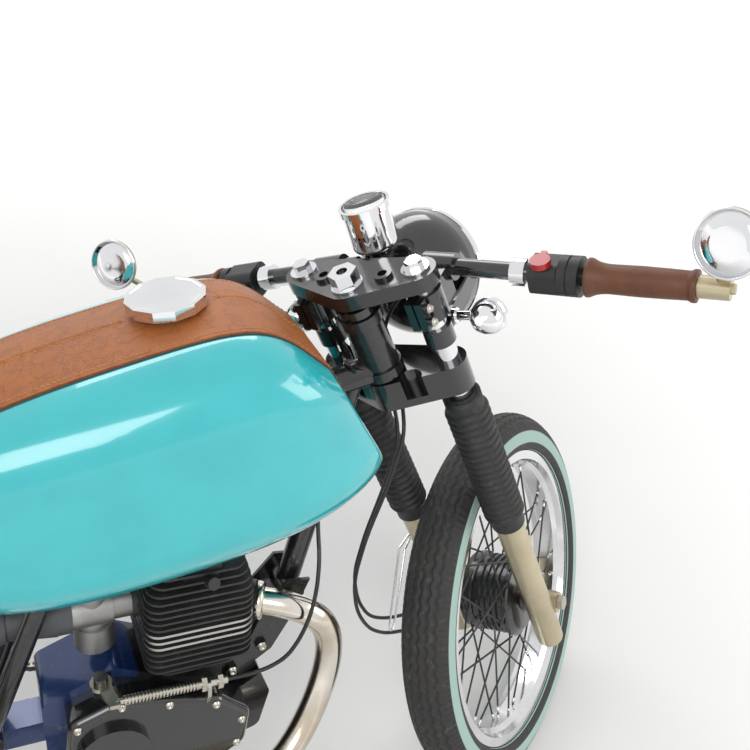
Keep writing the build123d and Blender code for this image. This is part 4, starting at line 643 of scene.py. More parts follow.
# grips: a flange, a swelling barrel and an end ring, with fine rings cut round them
gripLook = {
    "outline": ((230, 22.6), (233, 23.0), (236, 21.6), (241, 19.2), (248, 17.6), (256, 17.1), (290, 17.6),
                (320, 17.1), (338, 16.6), (343.5, 16.4), (345, 18.3), (348, 18.6), (351, 18.2)),
    "barRoot": (0.087, -0.038, 0.662), "barTip": (0.070, -0.392, 0.632), "bore": 11.3,
    "ringPitch": 1.9, "ringDepth": 0.28, "ringsFrom": 250, "ringsTo": 341, "sides": 64, "steps": 250,
}
barDirection = tuple(unit(np.subtract(gripLook["barTip"], gripLook["barRoot"])))
outlineAlong, outlineRadius = np.array(gripLook["outline"], float).T
gripAlong = np.linspace(outlineAlong[0], outlineAlong[-1], gripLook["steps"])
gripRadius = softened(np.interp(gripAlong, outlineAlong, outlineRadius), 7)
ringed = (gripAlong > gripLook["ringsFrom"]) & (gripAlong < gripLook["ringsTo"])
ringWave = 0.5 - 0.5 * np.cos(2 * math.pi * gripAlong / gripLook["ringPitch"])
gripRadius -= ringed * gripLook["ringDepth"] * ringWave
bore = gripLook["bore"]
gripProfile = [(bore, gripAlong[0]), *zip(gripRadius, gripAlong), (bore, gripAlong[-1])]
gripParts = [
    sleeve(gripProfile, gripLook["sides"], nested(forkFrame, origin, direction))
    for origin, direction in mirroredSides(gripLook["barRoot"], barDirection)
]
grips = besides("ribbedGrips", *joined(gripParts), "steering", "brown_rubber")
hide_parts("grips")
print("grips made")

# speedometer: dial, ticks, needle and domed glass in the case's recess
dialLook = {
    "foot": (0.086, 0, 0.690), "tilt": 6.0, "floor": 59.1, "sweep": 270.0, "ticks": 49, "longEvery": 4,
    "longTick": (19.0, 0.42), "shortTick": (22.6, 0.20), "tickEnd": 26.2, "needleAt": -118.0,
    "glass": ((0, 62.6), (14, 62.2), (24, 61.5), (28.6, 60.9), (28.6, 60.5), (0, 61.9)),
    "paleTone": (0.86, 0.86, 0.84), "needleTone": (0.62, 0.02, 0.012),
}
dialTilt = math.radians(dialLook["tilt"])
dialFrame = nested(forkFrame, dialLook["foot"], (math.sin(dialTilt), 0, math.cos(dialTilt)))
dialFloor = dialLook["floor"]
dialFace = [(0, dialFloor + 0.5), (28.0, dialFloor + 0.5), (28.4, dialFloor + 0.1), (0, dialFloor + 0.1)]
lathe("dialFace", dialFace, 72, dialFrame, "steering", "switch_black")


def blockOnDial(low, high, angle, tip=1.0):
    # a small block's eight corners and six faces, its far end narrowed and turned about the dial's axis
    corners = np.array([(x, y, z) for x in (low[0], high[0]) for y in (low[1], high[1])
                        for z in (low[2], high[2])])
    corners[4:, 1] *= tip
    c, s = math.cos(angle), math.sin(angle)
    spin = np.array([(c, s, 0), (-s, c, 0), (0, 0, 1)])
    quads = np.array([(0, 1, 3, 2), (4, 6, 7, 5), (0, 4, 5, 1), (2, 3, 7, 6), (0, 2, 6, 4), (1, 5, 7, 3)])
    return placed(corners @ spin * mm, dialFrame), quads


tickParts = []
for tick in range(dialLook["ticks"]):
    angle = math.radians(dialLook["sweep"] * (tick / (dialLook["ticks"] - 1) - 0.5))
    inner, half = dialLook["shortTick"] if tick % dialLook["longEvery"] else dialLook["longTick"]
    low, high = (inner, -half, dialFloor + 0.45), (dialLook["tickEnd"], half, dialFloor + 0.72)
    tickParts.append(blockOnDial(low, high, angle))
ticks = besides("dialTicks", *joined(tickParts), "steering", "switch_black", smooth=False)
low, high = (-5, -0.75, dialFloor + 0.8), (22.5, 0.75, dialFloor + 1.1)
needleBlock = blockOnDial(low, high, math.radians(dialLook["needleAt"]), tip=0.25)
needle = besides("dialNeedle", *needleBlock, "steering", "switch_black", smooth=False)
needleHub = [(0, dialFloor + 1.5), (2.2, dialFloor + 1.4), (2.8, dialFloor + 0.6), (0, dialFloor + 0.6)]
lathe("needleHub", needleHub, 24, dialFrame, "steering", "switch_black")
lathe("dialGlass", dialLook["glass"], 72, dialFrame, "steering", "lamp_glass")
for piece, tone in ((ticks, "paleTone"), (needle, "needleTone")):
    shade = tuple(0.9 * part for part in dialLook[tone])
    redress(piece, grainFinish(tone, dialLook[tone], shade, (0.35, 0.5), dust=0.02))

# bar-end mirrors: a raised chrome edge and a faintly domed glass
mirrorLook = {
    "centre": (0.048, -0.428, 0.702), "look": (-0.86, 0.22, 0.46),
    "edge": ((34.2, 1.6), (34.2, 2.6), (35.2, 3.2), (36.4, 2.6), (36.9, 1.6)),
    "glass": ((0, 2.7), (18, 2.5), (34.0, 1.9), (34.0, 1.6), (0, 1.6)),
}
mirrorSides = mirroredSides(mirrorLook["centre"], mirrorLook["look"])
for label, (place, direction) in zip(("right", "left"), mirrorSides):
    local = nested(forkFrame, place, direction, (0, 0, 1))
    lathe(label + "MirrorEdge", mirrorLook["edge"], 72, local, "steering", "bright_chrome")
    lathe(label + "MirrorGlass", mirrorLook["glass"], 72, local, "steering", "bright_chrome")
print("dial and mirrors made")


def surfaceOf(node):
    # a search tree over the faces of one CAD node
    mesh = nodes[node].data
    return BVHTree.FromPolygons([v.co for v in mesh.vertices], [tuple(p.vertices) for p in mesh.polygons])


def dropOnto(tree, ahead, left, above=1.2):
    # the point and normal of a CAD surface straight under a place of the chassis frame
    origin = placed([(ahead * mm, left * mm, above)], chassisFrame)[0]
    place, normal, _, _ = tree.ray_cast(Vector(origin), Vector(-chassisUp))
    return (np.array(place), np.array(normal)) if place is not None else (None, None)


# stitching on the leather strip, its centre seam and the black line at the paint's edge
leatherLook = {
    "halfWidth": 75.0, "inset": 6.0, "seamInset": 4.2, "pitch": 5.6, "stitch": 3.9, "thread": 0.62,
    "lift": 0.25, "from": 380.0, "to": 924.0, "capAt": 719.0, "capClear": 50.0,
    "seamRadius": 1.5, "seamSunk": -0.6, "lineRadius": 1.5, "lineLift": 0.2, "lineOutside": 1.6,
    "threadTone": (0.60, 0.30, 0.12), "threadShade": (0.48, 0.22, 0.09),
}
stitchHalf, threadThick = leatherLook["stitch"] / 2, leatherLook["thread"]


def clearOfCap(ahead, left):
    # whether a place is further from the cap's middle than its clearance
    return math.hypot(ahead - leatherLook["capAt"], left) > leatherLook["capClear"]


def sewn(name, tree, rows):
    # one flattened bead for each stitch, laid along its row on the surface
    profile = [(0, stitchHalf), (0.7 * threadThick, stitchHalf * 0.8), (threadThick, stitchHalf * 0.3),
               (threadThick, -stitchHalf * 0.3), (0.7 * threadThick, -stitchHalf * 0.8), (0, -stitchHalf)]
    frames = []
    for left in rows:
        for ahead in np.arange(leatherLook["from"], leatherLook["to"], leatherLook["pitch"]):
            here, normal = dropOnto(tree, ahead, left)
            there, _ = dropOnto(tree, ahead + 2, left)
            if here is None or there is None or not clearOfCap(ahead, left):
                continue
            run = unit(there - here)
            across = unit(np.cross(normal, run))
            place = here + normal * leatherLook["lift"] * mm
            frames.append((place, np.stack([across, np.cross(run, across), run])))
    return besides(name, *copiesOf(profile, 6, frames), "chassis", "tan_leather")


def lineOn(tree, left, radius, lift, clear=False):
    # tubes laid on a surface along the machine, broken where the cap stands
    runs = [[]]
    for ahead in np.arange(leatherLook["from"], leatherLook["to"], 4.0):
        here, normal = dropOnto(tree, ahead, left)
        if here is None or (clear and not clearOfCap(ahead, left)):
            runs.append([])
        else:
            runs[-1].append(here + normal * lift * mm)
    return [tubeAlong(path, radius * mm, 8, chassisUp) for path in runs if len(path) > 3]


leatherTree = surfaceOf("tank_leather")
tankTree = surfaceOf("fuel_tank")
stripHalf = leatherLook["halfWidth"]
edgeRow, seamRow = stripHalf - leatherLook["inset"], leatherLook["seamInset"]
stitches = sewn("tankStitches", leatherTree, (edgeRow, -edgeRow, seamRow, -seamRow))
seamParts = lineOn(leatherTree, 0.0, leatherLook["seamRadius"], leatherLook["seamSunk"], clear=True)
besides("tankSeam", *joined(seamParts), "chassis", "tan_leather")
lineSide = stripHalf + leatherLook["lineOutside"]
lineParts = [part for left in (lineSide, -lineSide)
             for part in lineOn(tankTree, left, leatherLook["lineRadius"], leatherLook["lineLift"])]
besides("paintEdgeLine", *joined(lineParts), "chassis", "fender_black")
waxedThread = grainFinish("waxedThread", leatherLook["threadTone"], leatherLook["threadShade"], (0.5, 0.7))
redress(stitches, waxedThread)
print("leather sewn")

# fuel cap: twelve flat sides, a chamfer top and bottom and a shallow dish
capLook = {
    "place": (0.719, 0, 0.882), "tilt": 9.0, "sides": 12,
    "profile": ((0, 20.7), (39.5, 20.7), (41, 21.2), (44.8, 21.2), (46, 20.0), (46, 7.5), (44.6, 6.4),
                (0, 6.4)),
}
capTilt = math.radians(capLook["tilt"])
capFrame = nested(chassisFrame, capLook["place"], (-math.sin(capTilt), 0, math.cos(capTilt)))
cap = lathe("twelveSidedCap", capLook["profile"], capLook["sides"], capFrame, "filler_cap", "bright_chrome",
            smooth=False)
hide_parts("fuel_cap")

# polished edges on three fins: a band that follows the fin's rounded rectangle
finLook = {
    "centre": 745.0, "headFoot": 436.0, "pitch": 10.0, "thick": 3.4, "polished": (1, 2, 3),
    "halfLength": 70.0, "halfWidth": 80.0, "corner": 20.0, "sunk": -1.5, "proud": 0.25, "lip": 0.12,
}


def stacked(rings, local, closed=False):
    # flat outlines in millimetres, each at its height, as one skin
    grid = np.stack([np.column_stack([flat, np.full(len(flat), height)]) for flat, height in rings], 1)
    faces = gridFaces(len(grid), len(rings), wrapRows=True, wrapColumns=closed)
    return placed(grid.reshape(-1, 3) * mm, local), faces


def roundedOutline(halfLength, halfWidth, corner, steps=10):
    # four quarter arcs about the inset corners, in one closed row
    turn = np.linspace(0, math.pi / 2, steps)
    rows = []
    for quarter, (sx, sy) in enumerate(((1, 1), (-1, 1), (-1, -1), (1, -1))):
        angle = turn + quarter * math.pi / 2
        rows.append(np.stack([sx * (halfLength - corner) + corner * np.cos(angle),
                              sy * (halfWidth - corner) + corner * np.sin(angle)], -1))
    return np.concatenate(rows)


bandParts = []
for fin in finLook["polished"]:
    finTop = finLook["headFoot"] + finLook["pitch"] * (fin + 1)
    low, high = finTop - finLook["thick"] - finLook["lip"], finTop + finLook["lip"]
    sunk, proud = (
        roundedOutline(*(finLook[key] + grow for key in ("halfLength", "halfWidth", "corner")))
        + (finLook["centre"], 0) for grow in (finLook["sunk"], finLook["proud"])
    )
    rings = ((sunk, low), (proud, low), (proud, high), (sunk, high))
    bandParts.append(stacked(rings, chassisFrame, closed=True))
besides("polishedFinEdges", *joined(bandParts), "chassis", "satin_silver", smooth=False)

# seat: a closed skin round a swept section, sewn into channels, with piping at its widest line
seatLook = {
    "outline": (
        # ahead, top, underside
        (366, 744, 713.6), (350, 762, 713.6), (330, 767, 713.6), (200, 765, 713.6), (60, 761, 713.6),
        (10, 772, 713.6), (-12, 792, 716.0), (-44, 825, 734.0), (-80, 822, 754.5), (-118, 807, 768.5),
        (-149, 782, 774.0),
    ),
    "halfWidth": 103.0, "roundness": 0.52, "channelFrom": 70, "channelTo": 320, "channelPitch": 36.0,
    "channelDepth": 4.5, "channelHalf": 3.0, "puff": 2.2, "endRound": 16.0, "steps": 260, "round": 96,
    "pipe": 2.6, "pipeTilt": 0.05, "threadTilt": 0.30, "threadAside": 1.9, "threadSteps": 44,
    "threadLift": 0.2,
}
outlineTable = np.array(seatLook["outline"], float)[::-1]
seatRows = np.linspace(outlineTable[0, 0], outlineTable[-1, 0], seatLook["steps"])
seatTop = softened(np.interp(seatRows, outlineTable[:, 0], outlineTable[:, 1]), 15)
seatLow = softened(np.interp(seatRows, outlineTable[:, 0], outlineTable[:, 2]), 9)
# half widths that narrow in straight lines towards the tank and towards the tail
towardsTank = 62 + (400 - seatRows) * 58 / 150 - 1
towardsTail = 86 + (seatRows + 150) * 0.45
seatWide = softened(np.minimum(np.minimum(seatLook["halfWidth"], towardsTank), towardsTail), 21)


def seatSkin(ahead, tilt):
    # a superellipse between the underside and the top, drawn in at both ends, with sewn channels on top
    top, low = np.interp(ahead, seatRows, seatTop), np.interp(ahead, seatRows, seatLow)
    wide = np.interp(ahead, seatRows, seatWide)
    nearEnd = np.minimum(ahead - seatRows[0], seatRows[-1] - ahead) / seatLook["endRound"]
    drawn = np.sqrt(np.clip(1 - (1 - np.clip(nearEnd, 0, 1)) ** 2, 1e-6, 1))
    middle, half = (top + low) / 2, (top - low) / 2 * drawn
    wide = wide - seatLook["endRound"] * (1 - drawn)
    power = seatLook["roundness"]
    c, s = np.cos(tilt), np.sin(tilt)
    side = wide * np.sign(c) * np.abs(c) ** power
    rise = half * np.sign(s) * np.abs(s) ** (power + 0.1)
    inside = (ahead > seatLook["channelFrom"] - 20) & (ahead < seatLook["channelTo"] + 20)
    phase = ((ahead - seatLook["channelFrom"]) / seatLook["channelPitch"] + 0.5) % 1 - 0.5
    groove = np.exp(-((phase * seatLook["channelPitch"]) / seatLook["channelHalf"]) ** 2)
    puff = np.cos(phase * math.pi) * -seatLook["puff"] + seatLook["puff"]
    upper = np.clip(s, 0, 1) ** 0.6 * inside
    rise = rise + upper * (puff - seatLook["channelDepth"] * groove)
    return np.stack([ahead, side, middle + rise], -1)


skin = seatSkin(*np.meshgrid(seatRows, fullTurn(seatLook["round"]), indexing="ij"))
ends = skin[[0, -1]].mean(axis=1, keepdims=True).repeat(seatLook["round"], axis=1)
skin = placed(np.concatenate([ends[:1], skin, ends[1:]]).reshape(-1, 3) * mm, chassisFrame)
seatFaces = gridFaces(seatLook["steps"] + 2, seatLook["round"], wrapColumns=True)
paddedSeat = besides("paddedSeat", skin, seatFaces, "chassis", "seat_leather")
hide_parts("seat")
pipeRows = seatRows[6:-6:2]
pipeParts = []
for tilt in (seatLook["pipeTilt"], math.pi - seatLook["pipeTilt"]):
    path = placed(seatSkin(pipeRows, np.full(len(pipeRows), tilt)) * mm, chassisFrame)
    pipeParts.append(tubeAlong(path, seatLook["pipe"] * mm, 8, chassisUp))
besides("seatPiping", *joined(pipeParts), "chassis", "fender_black")
threadTilts = np.linspace(seatLook["threadTilt"], math.pi - seatLook["threadTilt"], seatLook["threadSteps"])
threadPlaces, threadAxes = [], []
for ahead in np.arange(seatLook["channelFrom"], seatLook["channelTo"] + 1, seatLook["channelPitch"]):
    for aside in (-seatLook["threadAside"], seatLook["threadAside"]):
        rail = placed(seatSkin(np.full(len(threadTilts), ahead + aside), threadTilts) * mm, chassisFrame)
        run = unitRows(np.gradient(rail, axis=0))
        across = unitRows(np.cross(run, chassisUp))
        threadPlaces.append(rail + np.cross(across, run) * seatLook["threadLift"] * mm)
        threadAxes.append(np.stack([across, np.cross(run, across), run], 1))
threadProfile = [(0, stitchHalf), (threadThick, stitchHalf * 0.5), (threadThick, -stitchHalf * 0.5),
                 (0, -stitchHalf)]
thread = turned(threadProfile, 6, ownFrame)
beads = instancesOf(*thread, np.concatenate(threadPlaces), np.concatenate(threadAxes))
redress(besides("seatStitches", *beads, "chassis", "seat_leather"), waxedThread)
print("seat padded and sewn")

# fork gaiters: smooth rubber folds between a plain cuff and a plain collar
gaiterLook = {
    "ahead": 30.0, "spacing": 80.0, "foot": 232.0, "top": 492.0, "cuff": 22.0, "collar": 22.0, "folds": 18,
    "outer": 30.4, "inner": 25.4, "cuffRadius": 25.0, "collarRadius": 26.0, "bore": 21.9, "sides": 64,
    "neck": 16.0, "neckFoot": 257.0, "sharpness": 0.8,
}
foot, top, bore, neck = (gaiterLook[key] for key in ("foot", "top", "bore", "neck"))
cuffRadius, collarRadius, neckFoot = (gaiterLook[key] for key in ("cuffRadius", "collarRadius", "neckFoot"))
foldFoot, foldTop = foot + gaiterLook["cuff"], top - gaiterLook["collar"]
foldAlong = np.linspace(foldFoot, foldTop, gaiterLook["folds"] * 10 + 1)
foldPhase = (foldAlong - foldFoot) / (foldTop - foldFoot) * gaiterLook["folds"]
foldOut = np.abs(np.sin(math.pi * foldPhase)) ** gaiterLook["sharpness"]
foldRadius = gaiterLook["inner"] + (gaiterLook["outer"] - gaiterLook["inner"]) * foldOut
gaiterProfile = [
    (bore, foot), (cuffRadius, foot), (cuffRadius, foldFoot - 3), *zip(foldRadius, foldAlong),
    (collarRadius, foldTop + 2), (collarRadius, top), (neck, top), (neck, neckFoot), (bore, neckFoot),
]
gaiterParts = []
for side in (-1, 1):
    legFrame = nested(forkFrame, (gaiterLook["ahead"] * mm, side * gaiterLook["spacing"] * mm, 0), (0, 0, 1))
    gaiterParts.append(sleeve(gaiterProfile, gaiterLook["sides"], legFrame))
gaiters = besides("foldedGaiters", *joined(gaiterParts), "steering", "gaiter_rubber")
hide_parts("fork_gaiters")
print("gaiters made")

# exhaust header: a quadratic spline through the CAD tube's corners, so that it bends in one long sweep
headerLook = {
    "radius": 19.0, "sides": 40, "steps": 30, "portTurn": 25, "barrel": (745.0, 0, 466.0), "portReach": 90.4,
    "lead": 66, "bends": ((938, -66, 395), (905, -84, 268), (830, -122, 205)), "runIn": 130, "gap": 0.4,
    "mufflerFront": (520.0, -138.0, 212.0), "mufflerBack": (70.0, -152.0, 256.0),
    "flange": ((0, 12), (21, 12), (24, 11), (26, 9), (26, 0.2), (0, 0.2)),
}
portTurn = math.radians(headerLook["portTurn"])
portOut = np.array((math.cos(portTurn), -math.sin(portTurn), 0))
portFace = np.array(headerLook["barrel"]) + portOut * headerLook["portReach"]
mufflerFront = np.array(headerLook["mufflerFront"])
mufflerRun = unit(np.array(headerLook["mufflerBack"]) - mufflerFront)
headerCorners = np.array([
    portFace, portFace + portOut * headerLook["lead"], *headerLook["bends"],
    mufflerFront - mufflerRun * headerLook["runIn"], mufflerFront - mufflerRun * headerLook["gap"],
])


def quadraticPath(corners, steps):
    # each middle corner bends the path from the midpoint before it to the midpoint after it
    middles = (corners[:-1] + corners[1:]) / 2
    starts = np.concatenate([corners[:1], middles[1:-1]])
    stops = np.concatenate([middles[1:-1], corners[-1:]])
    t = np.linspace(0, 1, steps, endpoint=False)[None, :, None]
    bends = (1 - t) ** 2 * starts[:, None] + 2 * t * (1 - t) * corners[1:-1, None] + t ** 2 * stops[:, None]
    return np.concatenate([bends.reshape(-1, 3), corners[-1:]])


headerPath = placed(quadraticPath(headerCorners, headerLook["steps"]) * mm, chassisFrame)
headerUp = chassisUp + 0.3 * chassisLeft
headerParts = [
    tubeAlong(headerPath, headerLook["radius"] * mm, headerLook["sides"], headerUp),
    turned(headerLook["flange"], 48, nested(chassisFrame, portFace * mm, portOut, (0, 0, 1))),
]
header = besides("sweptHeader", *joined(headerParts), "chassis", "header_chrome")
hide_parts("exhaust_header")
print("header made")

# drive chain: waisted plates on rollers, paced along the two sprockets' pitch circles and the runs between
chainLook = {
    "pitch": 12.7, "rear": (0.0, 308.0), "front": (580.0, 306.0), "rearTeeth": 40, "frontTeeth": 15,
    "middle": 58.0, "plate": 1.3, "innerGap": 3.0, "outerGap": 4.5, "tall": 5.2, "waist": 3.9, "roller": 4.1,
    "rollerHalf": 4.4, "sprocketHalf": 1.5, "toothFoot": 0.4, "toothHigh": 3.0, "outline": 20,
    "boss": ((0, 12), (9, 12), (14, 10), (14, -9.5), (0, -9.5)),
}
rearCentre, frontCentre = np.array(chainLook["rear"]), np.array(chainLook["front"])
rearPitch = chainLook["pitch"] / 2 / math.sin(math.pi / chainLook["rearTeeth"])
frontPitch = chainLook["pitch"] / 2 / math.sin(math.pi / chainLook["frontTeeth"])
between = frontCentre - rearCentre
bearing = math.atan2(between[1], between[0])
wrap = math.acos((rearPitch - frontPitch) / math.hypot(*between))
loop = np.concatenate([
    frontCentre + onCircle(np.linspace(bearing + wrap, bearing - wrap, 60), frontPitch),
    rearCentre + onCircle(np.linspace(bearing - wrap, bearing + wrap - 2 * math.pi, 240), rearPitch),
])
loop = np.concatenate([loop, loop[:1]])
paced = np.concatenate([[0], np.cumsum(np.linalg.norm(np.diff(loop, axis=0), axis=1))])
linkCount = 2 * round(paced[-1] / chainLook["pitch"] / 2)
pinAt = np.linspace(0, paced[-1], linkCount, endpoint=False)
pins = np.stack([np.interp(pinAt, paced, loop[:, axis]) for axis in (0, 1)], -1)
nextPins = np.roll(pins, -1, axis=0)
linkRun = unitRows(nextPins - pins)
cosine, sine = onCircle(fullTurn(chainLook["outline"]), 1).T
atEnd = np.abs(cosine) > 0.35
flatPlate = np.stack([
    np.sign(cosine) * chainLook["pitch"] / 2 * atEnd + chainLook["tall"] * cosine * atEnd,
    np.where(atEnd, chainLook["tall"] * sine, chainLook["waist"] * np.sign(sine)),
], -1)


def slab(flat, half, local):
    # a flat outline given a thickness, with both sides closed to the middle
    return stacked(((flat * 0, half), (flat, half), (flat, -half), (flat * 0, -half)), local)


def acrossMachine(places, side):
    # places in the chain's plane carried to their distance from the machine's middle
    side = np.broadcast_to(side, len(places))
    return placed(np.column_stack([places[:, 0], side, places[:, 1]]) * mm, chassisFrame)


# link frames: along the run, square to it in the chain's plane, and across the machine
flat = np.zeros(linkCount)
linkAxes = np.stack([
    np.column_stack([linkRun[:, 0], flat, linkRun[:, 1]]) @ chassisFrame[1],
    np.column_stack([-linkRun[:, 1], flat, linkRun[:, 0]]) @ chassisFrame[1],
    np.tile(chassisLeft, (linkCount, 1)),
], 1)
plate = slab(flatPlate, chainLook["plate"] / 2, ownFrame)
gaps = np.where(np.arange(linkCount) % 2 == 0, chainLook["innerGap"], chainLook["outerGap"])
chainParts = [
    instancesOf(*plate, acrossMachine((pins + nextPins) / 2, chainLook["middle"] + offset * gaps), linkAxes)
    for offset in (-1, 1)
]
roller, rollerHalf = chainLook["roller"], chainLook["rollerHalf"]
rollerProfile = [(0, rollerHalf), (roller, rollerHalf), (roller, -rollerHalf), (0, -rollerHalf)]
rollerForm = turned(rollerProfile, 10, ownFrame)
chainParts.append(instancesOf(*rollerForm, acrossMachine(pins, chainLook["middle"]), linkAxes))
toothTurn = fullTurn(chainLook["frontTeeth"] * 8)
tooth = np.clip(np.cos(toothTurn * chainLook["frontTeeth"]), 0, 1)
toothRadius = frontPitch - roller - chainLook["toothFoot"] + chainLook["toothHigh"] * tooth
sprocketPlace = (frontCentre[0] * mm, chainLook["middle"] * mm, frontCentre[1] * mm)
sprocketFrame = nested(chassisFrame, sprocketPlace, (0, 1, 0))
disc = onCircle(toothTurn, toothRadius[:, None])
chainParts.append(slab(disc, chainLook["sprocketHalf"], sprocketFrame))
chainParts.append(turned(chainLook["boss"], 32, sprocketFrame))
chain = besides("linkedChain", *joined(chainParts), "chassis", "chain_steel", smooth=False)
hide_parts("drive_chain")
print("chain made:", linkCount, "links")

# rear spring units: turned body, seats and eyes, with a helical spring between the seats
shockLook = {
    "foot": (56.0, -126.0, 346.0), "head": (128.0, -126.0, 700.0), "coils": 9.5, "wire": 4.0,
    "coilRadius": 23.0, "springFrom": 66.0, "springTo": 263.0, "eyeHalf": 11.0,
    "lower": ((0, 13), (13, 13), (17, 16), (17, 56), (27, 57), (28, 59), (28, 62), (16, 63), (16, 266),
              (28, 267), (28, 280), (26, 312)),
    "upper": ((23, -26), (13, -24), (13, -13), (0, -13)),  # measured back from the head
}
shockParts = []
coilTurn = np.linspace(0, 2 * math.pi * shockLook["coils"], 300)
coilRise = np.linspace(shockLook["springFrom"], shockLook["springTo"], len(coilTurn))
coil = np.column_stack([onCircle(coilTurn, shockLook["coilRadius"]), coilRise])
half = shockLook["eyeHalf"]
eyeProfile = [(6.3, half), (13.5, half), (15, half - 1.5), (15, 1.5 - half), (13.5, -half), (6.3, -half),
              (6.3, half)]
for side in (1, -1):
    foot, head = (np.array(shockLook[end]) * (1, side, 1) for end in ("foot", "head"))
    run, length = unit(head - foot), np.linalg.norm(head - foot)
    local = nested(chassisFrame, foot * mm, run)
    shockBody = [*shockLook["lower"], *((radius, length + back) for radius, back in shockLook["upper"])]
    shockParts.append(turned(shockBody, 40, local))
    shockParts.append(tubeAlong(placed(coil * mm, local), shockLook["wire"] * mm, 10, run @ chassisFrame[1]))
    for eye in (foot, head):
        shockParts.append(turned(eyeProfile, 32, nested(chassisFrame, eye * mm, (0, 1, 0))))
shocks = besides("springUnits", *joined(shockParts), "chassis", "shock_steel")
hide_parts("rear_shocks")
print("spring units made")

# screws: a washer, a round head and a sunk socket, turned as one small form
boltAhead, boltUp, boltCircle = 720, 290, 52
bothSides = (-1, 1)
screwLook = {
    # for each set: its body, its frame, the seats in millimetres with the way the head points, radius, height
    "clampScrews": ("steering", forkFrame, [((3, side * 97, height), (0, side, 0)) for side in bothSides
                                            for height in (636, 656)], 4.4, 4.0),
    "yokeScrews": ("steering", forkFrame, [((ahead, side * 80, height), (1, 0, 0))
                                           for ahead, height in ((54, 532), (55, 684)) for side in bothSides],
                   5.0, 4.5),
    "coverScrews": ("chassis", chassisFrame, [((x, -92.2, z), (0, -1, 0)) for x, z in (
        (582, 274), (598, 246), (675, 238), (744, 236), (792, 266), (798, 308), (762, 348), (700, 368),
        (640, 384), (586, 362))], 4.2, 3.6),
    "alternatorScrews": ("chassis", chassisFrame, [
        ((boltAhead + boltCircle * math.cos(a), 90.4, boltUp + boltCircle * math.sin(a)), (0, 1, 0))
        for a in fullTurn(6)], 4.2, 3.6),
    "plateScrews": ("chassis", chassisFrame, [((x, side * 39.2, z), (0, side, 0)) for side in bothSides
                                              for x, z in ((862, 435), (840, 379), (799, 345))], 5.4, 3.4),
}
for name, (body, local, places, r, height) in screwLook.items():
    profile = [(0, height * 0.35), (r * 0.46, height * 0.35), (r * 0.5, height * 0.98), (r * 0.84, height),
               (r, height * 0.86), (r, height * 0.12), (r * 1.35, height * 0.10), (r * 1.35, 0), (0, 0)]
    frames = [nested(local, np.array(place) * mm, direction, (0.3, 0.5, 0.8)) for place, direction in places]
    besides(name, *copiesOf(profile, 12, frames), body, "axle_steel")

# headlamp reflector: a bright disc behind the lens
lampLook = {"centre": (0.150, 0, 0.600), "floor": 18.26, "thick": 0.2, "radius": 75.0}
ahead, down = math.cos(rake), math.sin(rake)
lampFrame = nested(forkFrame, lampLook["centre"], (ahead, 0, -down), (down, 0, ahead))
lampFloor, lampRadius = lampLook["floor"], lampLook["radius"]
lampTop = lampFloor + lampLook["thick"]
lampProfile = [(0, lampTop), (lampRadius, lampTop), (lampRadius, lampFloor), (0, lampFloor)]
lathe("lampReflector", lampProfile, 96, lampFrame, "steering", "bright_chrome")
print("screws and reflector made")

# camera at the photograph's angle
yaw, pitch, roll = (math.radians(look[name]) for name in ("yaw", "pitch", "roll"))
viewDir = Vector((math.cos(yaw) * math.cos(pitch), math.sin(yaw) * math.cos(pitch), -math.sin(pitch)))
rightDir = Vector((math.sin(yaw), -math.cos(yaw), 0))
upDir = rightDir.cross(viewDir)
rolledRight = math.cos(roll) * rightDir + math.sin(roll) * upDir
rolledUp = -math.sin(roll) * rightDir + math.cos(roll) * upDir
camera = bpy.data.objects.new("camera", bpy.data.cameras.new("camera"))
camera.data.lens = look["focal"] / look["pictureWidth"] * look["sensor"]
camera.data.sensor_width = look["sensor"]
camera.data.clip_start = 0.02
turn = Matrix((rolledRight, rolledUp, -viewDir)).transposed().to_4x4()
camera.matrix_world = Matrix.Translation(look["cameraPlace"]) @ turn
bpy.context.scene.collection.objects.link(camera)
bpy.context.scene.camera = camera


def seenRays(tree):
    # one for rays from the camera, off a glossy surface or through glass, which show the backdrop
    path = tree.nodes.new("ShaderNodeLightPath")
    direct = mathNode(tree, "MAXIMUM", path.outputs["Is Camera Ray"], path.outputs["Is Glossy Ray"])
    return mathNode(tree, "MAXIMUM", direct, path.outputs["Is Transmission Ray"])


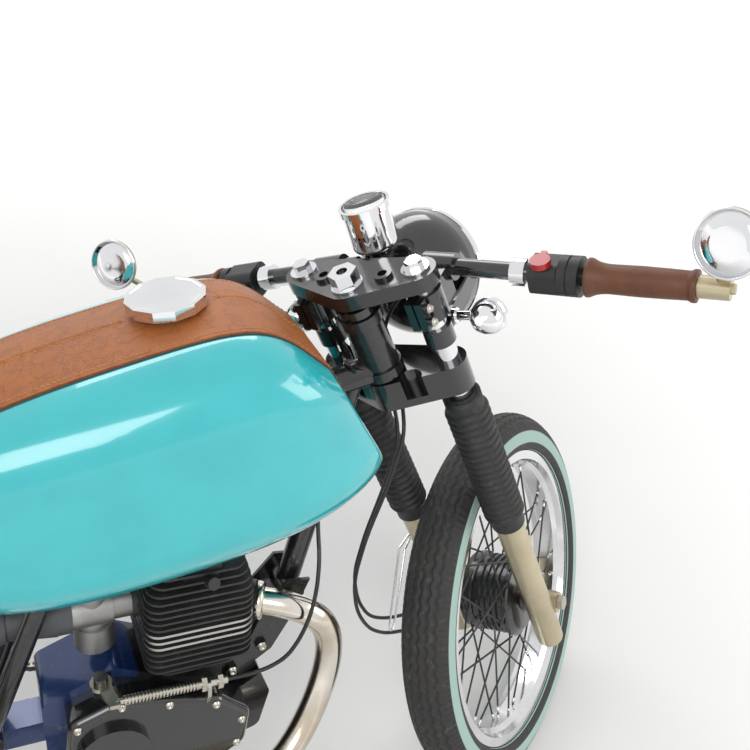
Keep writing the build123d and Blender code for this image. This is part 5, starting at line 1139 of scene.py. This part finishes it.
# floor: pale paper that takes the shadow and fades to white with its distance from the machine
wide = look["floorHalf"]
floorMesh = bpy.data.meshes.new("floor")
floorCorners = [(-wide, -wide, 0), (wide, -wide, 0), (wide, wide, 0), (-wide, wide, 0)]
floorMesh.from_pydata(floorCorners, [], [(0, 1, 2, 3)])
floor = bpy.data.objects.new("floor", floorMesh)
bpy.context.scene.collection.objects.link(floor)
floorFinish, floorTree, floorShader, floorWhere = newMaterial("floorPaper")
setInputs(floorShader, {"Roughness": 0.8, "Emission Color": look["white"]})
floorCloud = noiseNode(floorTree, floorWhere.outputs["Object"], 3.0, 6.0)
paler = tuple(min(1.0, tone * 1.03) for tone in look["floorTone"])
floorTone = mixColour(floorTree, floorCloud, look["floorTone"], paler)
reach = floorTree.nodes.new("ShaderNodeVectorMath")
reach.operation = "LENGTH"
floorTree.links.new(floorWhere.outputs["Object"], reach.inputs[0])
fading = rampNode(floorTree, reach.outputs["Value"], look["fadeFrom"], look["fadeTo"], 0.0,
                  look["fadeStrength"])
floorGlow = mathNode(floorTree, "MULTIPLY", fading, seenRays(floorTree))
floorSockets = (floorShader.inputs["Base Color"], floorShader.inputs["Emission Strength"])
feed(floorTree, floorSockets, (floorTone, floorGlow))
floor.data.materials.append(floorFinish)

# world: soft light from above, and plain white for the rays that see the backdrop
world = bpy.data.worlds.new("studio")
bpy.context.scene.world = world
world.use_nodes = True
worldTree = world.node_tree
background = worldTree.nodes["Background"]
skyWhere = worldTree.nodes.new("ShaderNodeTexCoord")
split = worldTree.nodes.new("ShaderNodeSeparateXYZ")
worldTree.links.new(skyWhere.outputs["Generated"], split.inputs["Vector"])
skyMask = rampNode(worldTree, split.outputs["Z"], -0.15, 0.75)
seen = seenRays(worldTree)
skyTone = mixColour(worldTree, skyMask, look["skyTone"], look["white"])
skyTone = mixColour(worldTree, seen, skyTone, look["white"])
skyPower = rampNode(worldTree, seen, 0.0, 1.0, look["skyStrength"], 1.0)
feed(worldTree, (background.inputs["Color"], background.inputs["Strength"]), (skyTone, skyPower))

for name, place, power, size, target in look["lamps"]:
    lamp = bpy.data.lights.new(name, "AREA")
    lamp.energy = power
    lamp.shape = "RECTANGLE"
    lamp.size, lamp.size_y = size
    holder = bpy.data.objects.new(name, lamp)
    holder.location = place
    holder.rotation_euler = (Vector(target) - Vector(place)).to_track_quat("-Z", "Y").to_euler()
    bpy.context.scene.collection.objects.link(holder)
bpy.context.scene.view_settings.view_transform = "Standard"
print("camera, floor and lamps ready")
